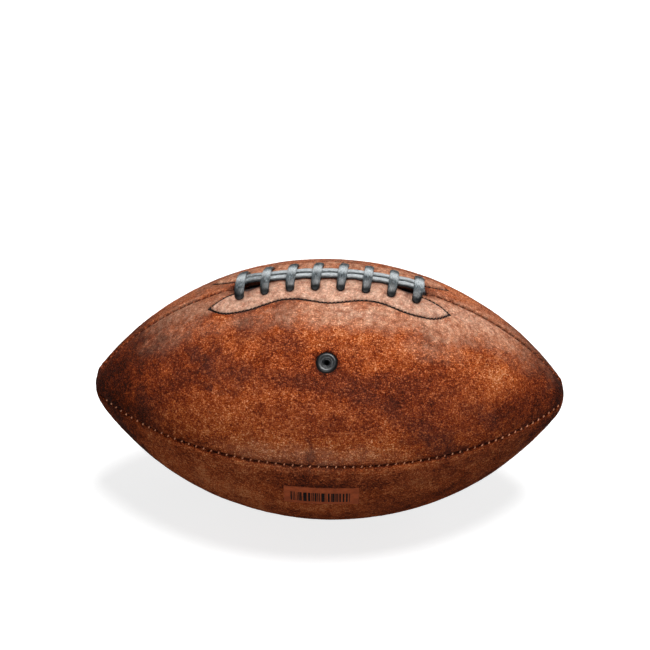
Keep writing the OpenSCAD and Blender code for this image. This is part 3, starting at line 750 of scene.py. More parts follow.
def unit(v):
    return v / np.maximum(np.linalg.norm(v, axis=-1, keepdims=True), 1e-9)


LACE_SIDES = 20
LACE_CROWN = 1.25                # how much fuller the worn band is than when it was cut
WIDE_POWER, HIGH_POWER, LACE_GROOVE = 0.92, 0.95, 0.06
LACE_UNEVEN, UNEVEN_SIZE = 0.035, 4.5
STRAND_PRESSED, STRANDS_APART, STRANDS_FRONT = 0.14, 0.3, 0.6
STRAND_WIDER, STRAND_THICKER = 0.1, 0.5


def make_lace():
    rows = refined(lace_route(), 5)
    x, reach, height, flat_turn, width, thick = rows.T
    # The strands give a little between the cross laces, and narrow where they are pressed
    over = (np.abs(reach) < STRAND_OFFSET + 0.3) & (flat_turn > 80) & (height > STRAND_HEIGHT - 0.6)
    pressed = np.cos(2 * np.pi * (LACE_HALF - x) / LACE_PITCH)
    height = height - np.where(over, STRAND_PRESSED * pressed, 0)
    inner = smooth_step(DIVE_X - 1 - np.abs(x), 0, 5) * over
    apart = STRANDS_APART * np.sign(reach) * inner * (1 - 0.6 * bell(x + 46, 10))
    reach = reach + apart - inner * (STRANDS_FRONT + 2.6 * bell(x + 47, 10) + 1.2 * bell(x - 46, 8))
    height = height - apart * 0.8
    width = width + STRAND_WIDER * inner
    crossing = flat_turn < 80
    entry = np.clip((height + 0.5) / 1.1, 0, 1)
    width = width * np.where(crossing & (height > MID_HEIGHT), 0.55 + 0.45 * np.sqrt(1 - (1 - entry) ** 2), 1)
    thick = thick + STRAND_THICKER * inner
    spine = from_seam(x, reach, height)
    turn = reach / radius_at(x)
    tilt = tilt_at(x)
    along = np.stack([np.cos(tilt), np.sin(tilt) * np.sin(turn), -np.sin(tilt) * np.cos(turn)], axis=-1)
    around = np.stack([0 * x, -np.cos(turn), -np.sin(turn)], axis=-1)
    run = unit(np.gradient(spine, axis=0))
    a = np.radians(flat_turn)[:, None]
    side = np.cos(a) * along + np.sin(a) * around
    flat = unit(side - (side * run).sum(axis=1, keepdims=True) * run)
    up = np.cross(run, flat)
    t = np.arange(LACE_SIDES) * 2 * np.pi / LACE_SIDES
    wide, high = swollen(np.cos(t), WIDE_POWER), swollen(np.sin(t), HIGH_POWER)
    groove = 1 - LACE_GROOVE * bell(wide, 0.18)
    length = np.concatenate([[0], np.cumsum(np.linalg.norm(np.diff(spine, axis=0), axis=1))])
    uneven = 1 + LACE_UNEVEN * clouds(np.stack([length, 0 * length, 0 * length], axis=-1), UNEVEN_SIZE, 61)
    ring = (flat[:, None, :] * (wide[None, :, None] * (width * uneven)[:, None, None] / 2)
            + up[:, None, :] * ((high * groove)[None, :, None] * thick[:, None, None] * LACE_CROWN / 2))
    points = (spine[:, None, :] + ring).reshape(-1, 3)
    piece = new_piece("lace_band", points, tube_faces(len(rows), LACE_SIDES))
    # Places along and round the band, for its fibres
    layer = piece.data.uv_layers.new(name="lace_run")
    corners = np.zeros(len(piece.data.loops), int)
    piece.data.loops.foreach_get("vertex_index", corners)
    column = corners % LACE_SIDES
    quads = len(corners) - 2 * LACE_SIDES
    wrapped = column[:quads].reshape(-1, 4)
    wrapped[(np.ptp(wrapped, axis=1) > LACE_SIDES / 2)[:, None] & (wrapped < LACE_SIDES / 2)] += LACE_SIDES
    uv = np.stack([length[corners // LACE_SIDES] / 10, column / LACE_SIDES], axis=1)
    layer.data.foreach_set("uv", uv.ravel())
    # Painted shade, near black, where the lace goes into its holes, and lighter on top from wear and a painted
    # highlight
    sunk = smooth_step(4.1 - height, 0, 2.4) * crossing * np.where(reach > 0, 1, 0.6)
    light = np.where(crossing, LOOP_HIGHLIGHT * bell(reach + 0.2, 3.6) * (height > 2),
                     STRAND_HIGHLIGHT * over * (1 - 0.5 * bell(x + 46, 8)))
    top = high[None, :] * np.sign((up * outward(x, turn)).sum(axis=1))[:, None]
    sunk = (sunk[:, None] - light[:, None] * smooth_step(top, -0.1, 0.7)).ravel()
    piece.data.attributes.new("sunk", "FLOAT", "POINT").data.foreach_set("value", sunk)
    return piece


lace = make_lace()


# ---- The valve: a rubber body with a rim, and its plug with the needle hole ----
def turned(name, profile, steps=72):
    """Spins a closed profile (radius, height) round the valve's axis, which is square to the panel.
    What lies wider than the head bends with the ball."""
    t = np.arange(steps) * 2 * np.pi / steps
    profile = np.array(profile, float)
    radius, height = profile[:, 0][None, :], profile[:, 1][None, :]
    along, across = radius * np.cos(t)[:, None], radius * np.sin(t)[:, None]
    bent = (along ** 2 / (2 * SIDE_RADIUS) + across ** 2 / (2 * BALL_RADIUS)) * (radius > VALVE_HEAD)
    up = outward(np.array(0.0), VALVE_TURN)
    axis_x, axis_y = np.array([1.0, 0, 0]), np.cross(up, [1.0, 0, 0])
    centre = over_ball(np.array(0.0), VALVE_TURN, 0.0)
    points = (centre + along[..., None] * axis_x + across[..., None] * axis_y
              + (height - bent)[..., None] * up).reshape(-1, 3)
    count = len(profile)
    faces = [quad for i in range(steps) for quad in band_quads(i * count, (i + 1) % steps * count, count)]
    return new_piece(name, points, faces)


def arc(cx, cy, radius, start, end, steps):
    return [(cx + radius * math.cos(a), cy + radius * math.sin(a))
            for a in np.radians(np.linspace(start, end, steps))]


body_profile = (
    [(2.4, -16.0), (2.4, -0.6)] + arc(2.62, -0.4, 0.22, 180, 90, 4)
    + [(3.1, -0.2), (3.4, -0.24), (3.7, -0.2), (4.1, -0.08), (4.5, -0.02), (4.8, -0.06), (5.1, -0.18),
       (5.35, -0.38), (5.65, -0.62), (5.88, -0.92), (6.02, -1.2), (6.1, -1.5), (6.1, -2.05),
       (6.6, -2.12), (12.6, -2.14), (13.0, -2.5), (13.0, -3.2), (12.6, -3.66),
       (4.9, -3.68), (4.5, -4.1), (4.5, -15.6), (4.1, -16.0)]
)
plug_profile = (
    [(1.05, -16.0), (1.05, -2.6), (1.45, -1.2), (1.75, -0.62)]
    + arc(2.0, -0.62, 0.3, 130, 20, 6) + [(2.3, -1.0), (2.3, -16.0)]
)
valve_body = turned("valve_body_rubber", body_profile)
valve_plug = turned("valve_plug_rubber", plug_profile)


# ---- A clear label on the front lower panel ----
LABEL_X, LABEL_TURN = -1.8, math.radians(107.4)
LABEL_HALF_X, LABEL_HALF_Y, LABEL_CORNER = 21.8, 8.6, 1.4
LABEL_COLUMNS, LABEL_ROWS = 88, 38
LABEL_LIFTS = 0.03, 0.16         # of its back and its face over the leather
BARS_MIDDLE, BARS_HALF = (-0.02, 0.12), (0.8, 0.52)    # as shares of the label's half size
BARS_FINE, BARS_LEVEL = 23.0, 0.47


def make_label():
    columns, rows = LABEL_COLUMNS, LABEL_ROWS
    v = np.linspace(-1, 1, rows) * LABEL_HALF_Y
    inset = np.maximum(np.abs(v) - (LABEL_HALF_Y - LABEL_CORNER), 0)
    half = LABEL_HALF_X - LABEL_CORNER + np.sqrt(LABEL_CORNER ** 2 - inset ** 2)
    u = np.linspace(-1, 1, columns)[None, :] * half[:, None]
    down = np.broadcast_to(v[:, None], u.shape)
    turn = LABEL_TURN + down / BALL_RADIUS
    x = LABEL_X + u
    base = relief(x.ravel(), turn.ravel()).reshape(x.shape)
    layers = [over_ball(x, turn, base + lift) for lift in LABEL_LIFTS]
    points = np.concatenate([layer.reshape(-1, 3) for layer in layers])
    half_count = rows * columns
    faces = []
    for i in range(rows - 1):
        for j in range(columns - 1):
            a, b = i * columns + j, (i + 1) * columns + j
            faces.append((a, b, b + 1, a + 1))
            faces.append((a + half_count, a + 1 + half_count, b + 1 + half_count, b + half_count))
    rim = ([(0, j) for j in range(columns)] + [(i, columns - 1) for i in range(1, rows)]
           + [(rows - 1, j) for j in range(columns - 2, -1, -1)] + [(i, 0) for i in range(rows - 2, 0, -1)])
    rim = [i * columns + j for i, j in rim]
    for a, b in zip(rim, rim[1:] + rim[:1]):
        faces.append((a, b, b + half_count, a + half_count))
    piece = new_piece("clear_label", points, faces)
    layer = piece.data.uv_layers.new(name="label_face")
    flat = np.stack([u.ravel() / LABEL_HALF_X, down.ravel() / LABEL_HALF_Y], axis=1)
    for loop in piece.data.loops:
        layer.data[loop.index].uv = flat[loop.vertex_index % half_count]
    return piece


label = make_label()


# ---- Shader building ----
def fill(tree, socket, value):
    """Sets a plain value, or links another node's socket."""
    if isinstance(value, bpy.types.NodeSocket):
        tree.links.new(value, socket)
    else:
        socket.default_value = value


def put(tree, kind, inputs=None, **settings):
    """Adds a node; an input is a plain value or another node's socket."""
    made = tree.nodes.new(kind)
    for key, value in settings.items():
        setattr(made, key, value)
    for key, value in (inputs or {}).items():
        fill(tree, made.inputs[key], value)
    return made


def calc(tree, operation, a, b=0.0, c=0.0, clamp=False):
    return put(tree, "ShaderNodeMath", {0: a, 1: b, 2: c}, operation=operation, use_clamp=clamp).outputs[0]


def scaled(tree, vector, factors):
    return put(tree, "ShaderNodeVectorMath", {0: vector, 1: factors}, operation="MULTIPLY").outputs[0]


def noise(tree, vector, size, detail=3.0, rough=0.55):
    return put(tree, "ShaderNodeTexNoise", {"Vector": vector, "Scale": 1 / size, "Detail": detail,
                                            "Roughness": rough}).outputs["Fac"]


def remap(tree, value, low, high, new_low=0.0, new_high=1.0):
    return put(tree, "ShaderNodeMapRange", {"Value": value, "From Min": low, "From Max": high,
                                            "To Min": new_low, "To Max": new_high},
               interpolation_type="SMOOTHSTEP").outputs["Result"]


def blend_colour(tree, factor, a, b, mode="MIX"):
    return put(tree, "ShaderNodeMix", {0: factor, 6: a, 7: b}, data_type="RGBA", blend_type=mode).outputs[2]


def srgb(red, green, blue):
    """A colour as seen on screen, 0 to 255, for a shader."""
    parts = [v / 255 for v in (red, green, blue)]
    return tuple(v / 12.92 if v <= 0.04045 else ((v + 0.055) / 1.055) ** 2.4 for v in parts) + (1.0,)


def colour_steps(tree, value, steps):
    ramp = put(tree, "ShaderNodeValToRGB", {"Fac": value})
    while len(ramp.color_ramp.elements) < len(steps):
        ramp.color_ramp.elements.new(0.5)
    for element, (place, colour) in zip(ramp.color_ramp.elements, steps):
        element.position, element.color = place, colour
    return ramp.outputs["Color"]


def cleared_tree(owner):
    owner.use_nodes = True
    owner.node_tree.nodes.clear()
    return owner.node_tree


def new_material(name):
    material = bpy.data.materials.new(name)
    tree = cleared_tree(material)
    shader = put(tree, "ShaderNodeBsdfPrincipled")
    put(tree, "ShaderNodeOutputMaterial", {"Surface": shader.outputs[0]})
    return material, tree, shader


def coat(tree, shader, colour, rough, bump, specular=None):
    """Joins a colour, a roughness (value, share, least) and a relief (height, strength, distance)."""
    relief_node = put(tree, "ShaderNodeBump", dict(zip(("Height", "Strength", "Distance"), bump)))
    fill(tree, shader.inputs["Base Color"], colour)
    fill(tree, shader.inputs["Roughness"], calc(tree, "MULTIPLY_ADD", *rough))
    fill(tree, shader.inputs["Normal"], relief_node.outputs["Normal"])
    if specular is not None:
        shader.inputs["Specular IOR Level"].default_value = specular


def object_place(tree):
    return put(tree, "ShaderNodeTexCoord").outputs["Object"]


def new_group(name, inputs, outputs):
    """A shader node group with named sockets; returns it with its input and output nodes."""
    group = bpy.data.node_groups.new(name, "ShaderNodeTree")
    kinds = {"v": "NodeSocketVector", "f": "NodeSocketFloat", "c": "NodeSocketColor"}
    for socket_name, kind, value in inputs:
        socket = group.interface.new_socket(socket_name, in_out="INPUT", socket_type=kinds[kind])
        if value is not None:
            socket.default_value = value
    for socket_name, kind in outputs:
        group.interface.new_socket(socket_name, in_out="OUTPUT", socket_type=kinds[kind])
    return group, group.nodes.new("NodeGroupInput"), group.nodes.new("NodeGroupOutput")


def give_out(tree, result, **values):
    for key, value in values.items():
        tree.links.new(value, result.inputs[key])


def use_group(tree, group, inputs):
    return put(tree, "ShaderNodeGroup", inputs, node_tree=group)


# Pebbled grain: crowns and grooves of one size, fine pores, and soft creases
grain_group, given, result = new_group(
    "pebbled_grain",
    [("Place", "v", None), ("Grain", "f", 600.0), ("Crease", "f", 90.0), ("Creasing", "f", 0.5)],
    [("Height", "f"), ("Groove", "f"), ("Cell", "f")])
tree, place = grain_group, given.outputs["Place"]
stray = put(tree, "ShaderNodeTexNoise", {"Vector": place, "Scale": 420.0, "Detail": 2.0})
stray = put(tree, "ShaderNodeVectorMath", {0: stray.outputs["Color"], 1: (0.5, 0.5, 0.5)},
            operation="SUBTRACT").outputs[0]
stray = put(tree, "ShaderNodeVectorMath", {0: stray, "Scale": 0.0011}, operation="SCALE").outputs[0]
moved = put(tree, "ShaderNodeVectorMath", {0: place, 1: stray}, operation="ADD").outputs[0]
cells = put(tree, "ShaderNodeTexVoronoi", {"Vector": moved, "Scale": given.outputs["Grain"]},
            feature="DISTANCE_TO_EDGE").outputs["Distance"]
crowns = remap(tree, cells, 0.0, 0.26)
each = put(tree, "ShaderNodeTexVoronoi",
           {"Vector": moved, "Scale": given.outputs["Grain"]}).outputs["Color"]
each = put(tree, "ShaderNodeSeparateColor", {"Color": each}).outputs["Red"]
pores = put(tree, "ShaderNodeTexNoise", {"Vector": moved, "Scale": 2600.0, "Detail": 2.0}).outputs["Fac"]
fold_noise = put(tree, "ShaderNodeTexNoise", {"Vector": moved, "Scale": given.outputs["Crease"],
                                              "Detail": 5.0, "Roughness": 0.65}).outputs["Fac"]
ridge = calc(tree, "ABSOLUTE", calc(tree, "SUBTRACT", fold_noise, 0.5))
crease = remap(tree, ridge, 0.0, 0.045, 1.0, 0.0)
crease = calc(tree, "MULTIPLY", crease, given.outputs["Creasing"])
height = calc(tree, "MULTIPLY_ADD", pores, 0.28, crowns)
height = calc(tree, "SUBTRACT", height, crease)
groove = calc(tree, "MAXIMUM", calc(tree, "SUBTRACT", 1.0, crowns), crease, clamp=True)
give_out(tree, result, Height=height, Groove=groove, Cell=each)

# Tone of the dyed leather, with its stains, glowing patches and painted highlight, grain grooves, dark edges
# and painted shade: 0 is the darkest, 1 is worn bright
GLOW_TONE, BLOT_TONE, GROOVE_TONE, EDGE_AND_SHADE_TONE = 0.175, -0.22, -0.27, -0.3
tone_group, given, result = new_group(
    "dye_and_painted_light_tone",
    [("Place", "v", None), ("Level", "f", 0.5), ("Cloudy", "f", 0.6), ("Speckle", "f", 0.6),
     ("Stain", "f", 0.0), ("Glow", "f", 0.0), ("Groove", "f", 0.0), ("Edges and Shade", "f", 0.0), ("Cell", "f", 0.5)],
    [("Tone", "f"), ("Blot", "f"), ("Speck", "f")])
tree, place = tone_group, given.outputs["Place"]
wide_cloud = calc(tree, "SUBTRACT", noise(tree, place, 0.034, 4, 0.6), 0.5)
small_cloud = calc(tree, "SUBTRACT", noise(tree, place, 0.0085, 4, 0.65), 0.5)
dashes = scaled(tree, place, (0.58, 1.0, 1.0))
speck = calc(tree, "SUBTRACT", noise(tree, dashes, 0.0008, 3, 0.6), 0.5)
cell = calc(tree, "SUBTRACT", given.outputs["Cell"], 0.5)
speck = calc(tree, "MULTIPLY_ADD", cell, 0.36, speck)
cloudy = calc(tree, "MULTIPLY_ADD", small_cloud, 0.9, wide_cloud)
tone = calc(tree, "MULTIPLY_ADD", cloudy, given.outputs["Cloudy"], given.outputs["Level"])
tone = calc(tree, "MULTIPLY_ADD", speck, given.outputs["Speckle"], tone)
patchy = remap(tree, noise(tree, place, 0.003, 4, 0.75), 0.3, 0.66, 0.78, 1.1)
blot = calc(tree, "MULTIPLY", given.outputs["Stain"], patchy, clamp=True)
glow = calc(tree, "MULTIPLY", given.outputs["Glow"], patchy)
for part, share in ((glow, GLOW_TONE), (blot, BLOT_TONE), (given.outputs["Groove"], GROOVE_TONE)):
    tone = calc(tree, "MULTIPLY_ADD", part, share, tone)
tone = calc(tree, "MULTIPLY_ADD", given.outputs["Edges and Shade"], EDGE_AND_SHADE_TONE, tone, clamp=True)
give_out(tree, result, Tone=tone, Blot=blot, Speck=speck)

# Spun thread: strands that twist round a row
twist_group, given, result = new_group(
    "twisted_yarn", [("Place", "v", None), ("Turns", "f", 900.0)], [("Height", "f"), ("Fuzz", "f")])
tree, place = twist_group, given.outputs["Place"]
wave = put(tree, "ShaderNodeTexWave", {"Vector": place, "Scale": given.outputs["Turns"],
                                       "Distortion": 1.5, "Detail": 1.0}, bands_direction="DIAGONAL")
fuzz = put(tree, "ShaderNodeTexNoise", {"Vector": place, "Scale": 1800.0, "Detail": 3.0})
give_out(tree, result, Height=wave.outputs["Fac"], Fuzz=fuzz.outputs["Fac"])

# Colours of the leather, from the darkest tone to the brightest
BROWN_STEPS = [
    (0.0, srgb(24, 6, 2)), (0.2, srgb(62, 20, 5)), (0.4, srgb(114, 42, 13)), (0.57, srgb(166, 73, 29)),
    (0.74, srgb(206, 110, 55)), (0.88, srgb(228, 150, 98)), (1.0, srgb(238, 182, 136)),
]
LOWER_STEPS = [
    (0.0, srgb(22, 6, 3)), (0.22, srgb(58, 19, 7)), (0.42, srgb(104, 40, 16)), (0.6, srgb(154, 66, 27)),
    (0.8, srgb(194, 98, 50)), (1.0, srgb(216, 136, 86)),
]
TAN_STEPS = [(0.0, srgb(168, 108, 82)), (0.5, srgb(211, 153, 121)), (1.0, srgb(235, 190, 160))]
PINK_STEPS = [(0.0, srgb(182, 128, 104)), (0.5, srgb(213, 167, 142)), (1.0, srgb(232, 195, 172))]
GLINT_GREY, STAIN, DARK_EDGE_AND_SHADE = srgb(186, 150, 134), srgb(80, 52, 45), srgb(70, 24, 12)


def hide_material(name, steps, level, cloudy, speckle, grain, creasing, relief_depth, rough, grey_flecks):
    """Antiqued leather, from the painted dye and the grain."""
    material, tree, shader = new_material(name)
    place = object_place(tree)
    dye_and_painted_light = put(tree, "ShaderNodeAttribute", attribute_name="dye_and_painted_light")
    parts = put(tree, "ShaderNodeSeparateColor", {"Color": dye_and_painted_light.outputs["Color"]})
    edge = dye_and_painted_light.outputs["Alpha"]
    grained = use_group(tree, grain_group, {"Place": place, "Grain": 1000 / grain, "Crease": 95.0,
                                            "Creasing": creasing})
    toned = use_group(tree, tone_group, {
        "Place": place, "Level": level, "Cloudy": cloudy, "Speckle": speckle,
        "Stain": parts.outputs["Red"], "Glow": parts.outputs["Green"],
        "Groove": grained.outputs["Groove"], "Edges and Shade": edge, "Cell": grained.outputs["Cell"]})
    colour = colour_steps(tree, toned.outputs["Tone"], steps)
    # Grey-pink flecks on the grain, a painted glint, fewer at the dark edges
    glint_share = calc(tree, "MULTIPLY", remap(tree, toned.outputs["Speck"], -0.05, 0.4, 0.0, grey_flecks),
                 calc(tree, "SUBTRACT", 1.0, edge), clamp=True)
    colour = blend_colour(tree, glint_share, colour, GLINT_GREY)
    blot = calc(tree, "MULTIPLY", toned.outputs["Blot"], 0.46)
    colour = blend_colour(tree, blot, colour, STAIN)
    # Pale leather, worn and with a painted sheen, warmer in its hollows
    worn_noise = remap(tree, noise(tree, place, 0.0035, 5, 0.7), 0.18, 0.78)
    level_of_pale = calc(tree, "MULTIPLY_ADD", grained.outputs["Groove"], -0.35, worn_noise, clamp=True)
    tan, pink = (colour_steps(tree, level_of_pale, pale_steps) for pale_steps in (TAN_STEPS, PINK_STEPS))
    pale = blend_colour(tree, remap(tree, parts.outputs["Blue"], 0.8, 1.0), tan, pink)
    flecked = calc(tree, "MULTIPLY_ADD", calc(tree, "SUBTRACT", grained.outputs["Cell"], 0.5), 0.42, 1.0)
    pale = put(tree, "ShaderNodeVectorMath", {0: pale, "Scale": flecked}, operation="SCALE").outputs[0]
    # Pale areas darken towards the dark edges and the painted shade
    pale = blend_colour(tree, calc(tree, "MULTIPLY", edge, 0.9), pale, DARK_EDGE_AND_SHADE)
    ragged = calc(tree, "MULTIPLY_ADD", worn_noise, 0.5, 0.7)
    worn_and_sheen = calc(tree, "MULTIPLY", parts.outputs["Blue"], ragged, clamp=True)
    colour = blend_colour(tree, worn_and_sheen, colour, pale)
    roughness = calc(tree, "MULTIPLY_ADD", grained.outputs["Groove"], 0.16, rough)
    coat(tree, shader, colour, (noise(tree, place, 0.004), 0.16, roughness),
         (grained.outputs["Height"], 0.9, relief_depth), 0.06)
    return material


upper_leather = hide_material(
    "upper_panel_leather", BROWN_STEPS, level=0.655, cloudy=0.4, speckle=0.64, grain=1.05, creasing=0.35,
    relief_depth=0.0009, rough=0.45, grey_flecks=0.11)
lower_leather = hide_material(
    "lower_panel_leather", LOWER_STEPS, level=0.79, cloudy=0.55, speckle=0.85, grain=1.05, creasing=0.3,
    relief_depth=0.0008, rough=0.48, grey_flecks=0.05)

# Lace: slate band with fibres along it
lace_material, tree, shader = new_material("slate_lace")
run_place = put(tree, "ShaderNodeUVMap", uv_map="lace_run").outputs["UV"]
place = object_place(tree)
fibres = noise(tree, scaled(tree, run_place, (5.0, 46.0, 1.0)), 1.0, 4, 0.6)
broad = noise(tree, scaled(tree, run_place, (1.2, 9.0, 1.0)), 1.0, 3, 0.6)
scuff = noise(tree, place, 0.0025, 3, 0.6)
tone = calc(tree, "MULTIPLY_ADD", fibres, 0.65, calc(tree, "MULTIPLY_ADD", broad, 0.3, 0.0))
colour = colour_steps(tree, tone, [(0.36, srgb(8, 10, 11)), (0.45, srgb(38, 43, 46)),
                                   (0.54, srgb(82, 91, 95)), (0.66, srgb(166, 173, 175))])
colour = blend_colour(tree, remap(tree, scuff, 0.56, 0.72, 0.0, 0.3), colour, srgb(160, 164, 166))
# The lace's attribute: pale streaks on its tops from wear and a painted highlight, and near-black painted
# shade where it goes into its holes
sunk = put(tree, "ShaderNodeAttribute", attribute_name="sunk").outputs["Fac"]
light = calc(tree, "MULTIPLY", sunk, calc(tree, "MULTIPLY_ADD", fibres, -2.2, 0.35), clamp=True)
colour = blend_colour(tree, light, colour, srgb(222, 228, 230))
colour = blend_colour(tree, calc(tree, "MULTIPLY", sunk, 1.0, clamp=True), colour, srgb(5, 6, 7))
coat(tree, shader, colour, (fibres, 0.3, 0.16), (fibres, 0.7, 0.0004), 0.5)

# Valve rubber: moulded, slightly dusty
valve_material, tree, shader = new_material("moulded_rubber")
place = object_place(tree)
grey_flecks = remap(tree, noise(tree, place, 0.0016, 4, 0.65), 0.45, 0.75)
colour = blend_colour(tree, calc(tree, "MULTIPLY", grey_flecks, 0.3), srgb(9, 11, 13), srgb(36, 42, 46))
coat(tree, shader, colour, (grey_flecks, 0.2, 0.36), (noise(tree, place, 0.0005, 2), 0.25, 0.0001))


def thread_material(name, dark, light, rough):
    """Waxed thread, dark between its strands."""
    material, tree, shader = new_material(name)
    twisted = use_group(tree, twist_group, {"Place": object_place(tree), "Turns": 900.0})
    mixed = calc(tree, "MULTIPLY_ADD", twisted.outputs["Fuzz"], 0.7,
                 calc(tree, "MULTIPLY", twisted.outputs["Height"], 0.3))
    colour = blend_colour(tree, remap(tree, mixed, 0.3, 0.7), dark, light)
    coat(tree, shader, colour, (mixed, 0.2, rough), (twisted.outputs["Height"], 0.5, 0.0001), 0.2)
    return material


black_thread = thread_material("waxed_black_thread", srgb(3, 3, 3), srgb(17, 15, 15), 0.6)
seam_thread = thread_material("rose_seam_thread", srgb(228, 126, 84), srgb(250, 186, 146), 0.5)
brown_thread = thread_material("russet_seam_thread", srgb(110, 48, 26), srgb(186, 98, 60), 0.5)

# Inner pieces
facing_material, tree, shader = new_material("split_leather")
place = object_place(tree)
grained = use_group(tree, grain_group, {"Place": place, "Grain": 1500.0, "Crease": 160.0, "Creasing": 0.3})
nap = noise(tree, place, 0.0012, 5, 0.7)
colour = blend_colour(tree, remap(tree, nap, 0.3, 0.7), srgb(58, 26, 16), srgb(118, 66, 42))
colour = blend_colour(tree, calc(tree, "MULTIPLY", grained.outputs["Groove"], 0.3), colour, srgb(34, 15, 10))
# Painted shade: the split leather goes near black towards the slot, under the laces
sideways = calc(tree, "ABSOLUTE", put(tree, "ShaderNodeSeparateXYZ", {0: place}).outputs[1])
colour = blend_colour(tree, remap(tree, sideways, 0.002, 0.009, 0.92, 0.0), colour, srgb(18, 8, 6))
coat(tree, shader, colour, (nap, 0.2, 0.7), (nap, 0.5, 0.0003))

lining_material, tree, shader = new_material("woven_lining")
place = object_place(tree)
warp, weft = (put(tree, "ShaderNodeTexWave", {"Vector": place, "Scale": 380.0, "Distortion": 0.4},
                  bands_direction=direction).outputs["Fac"] for direction in ("X", "DIAGONAL"))
weave = calc(tree, "MULTIPLY", warp, weft)
slub = noise(tree, place, 0.003, 3)
colour = blend_colour(tree, calc(tree, "MULTIPLY_ADD", weave, 0.6, calc(tree, "MULTIPLY", slub, 0.4)),
                      srgb(150, 136, 112), srgb(214, 204, 184))
coat(tree, shader, colour, (slub, 0.2, 0.75), (weave, 0.5, 0.0002))

bladder_material, tree, shader = new_material("bladder_rubber")
place = object_place(tree)
talc = remap(tree, noise(tree, place, 0.012, 5, 0.7), 0.4, 0.8)
colour = blend_colour(tree, calc(tree, "MULTIPLY", talc, 0.4), srgb(20, 20, 21), srgb(84, 82, 80))
coat(tree, shader, colour, (talc, 0.25, 0.5), (noise(tree, place, 0.001, 3), 0.3, 0.0001))

# Label: clear film with a row of plain bars
label_material, tree, shader = new_material("label_film")
face_place = put(tree, "ShaderNodeUVMap", uv_map="label_face").outputs["UV"]
across, down = put(tree, "ShaderNodeSeparateXYZ", {0: face_place}).outputs[:2]
bars = put(tree, "ShaderNodeTexNoise",
           {"W": calc(tree, "MULTIPLY", across, BARS_FINE), "Scale": 1.0, "Detail": 0.0},
           noise_dimensions="1D").outputs["Fac"]
ink = calc(tree, "GREATER_THAN", bars, BARS_LEVEL)
for way, middle, half in zip((across, down), BARS_MIDDLE, BARS_HALF):
    away = calc(tree, "ABSOLUTE", calc(tree, "SUBTRACT", way, middle))
    ink = calc(tree, "MULTIPLY", ink, calc(tree, "LESS_THAN", away, half))
place = object_place(tree)
tint = remap(tree, noise(tree, place, 0.004, 4, 0.7), 0.3, 0.7)
colour = blend_colour(tree, tint, srgb(136, 62, 32), srgb(172, 84, 48))
colour = blend_colour(tree, ink, colour, srgb(14, 7, 6))
coat(tree, shader, colour, (tint, 0.12, 0.5), (noise(tree, place, 0.0015, 3), 0.2, 0.0002), 0.15)


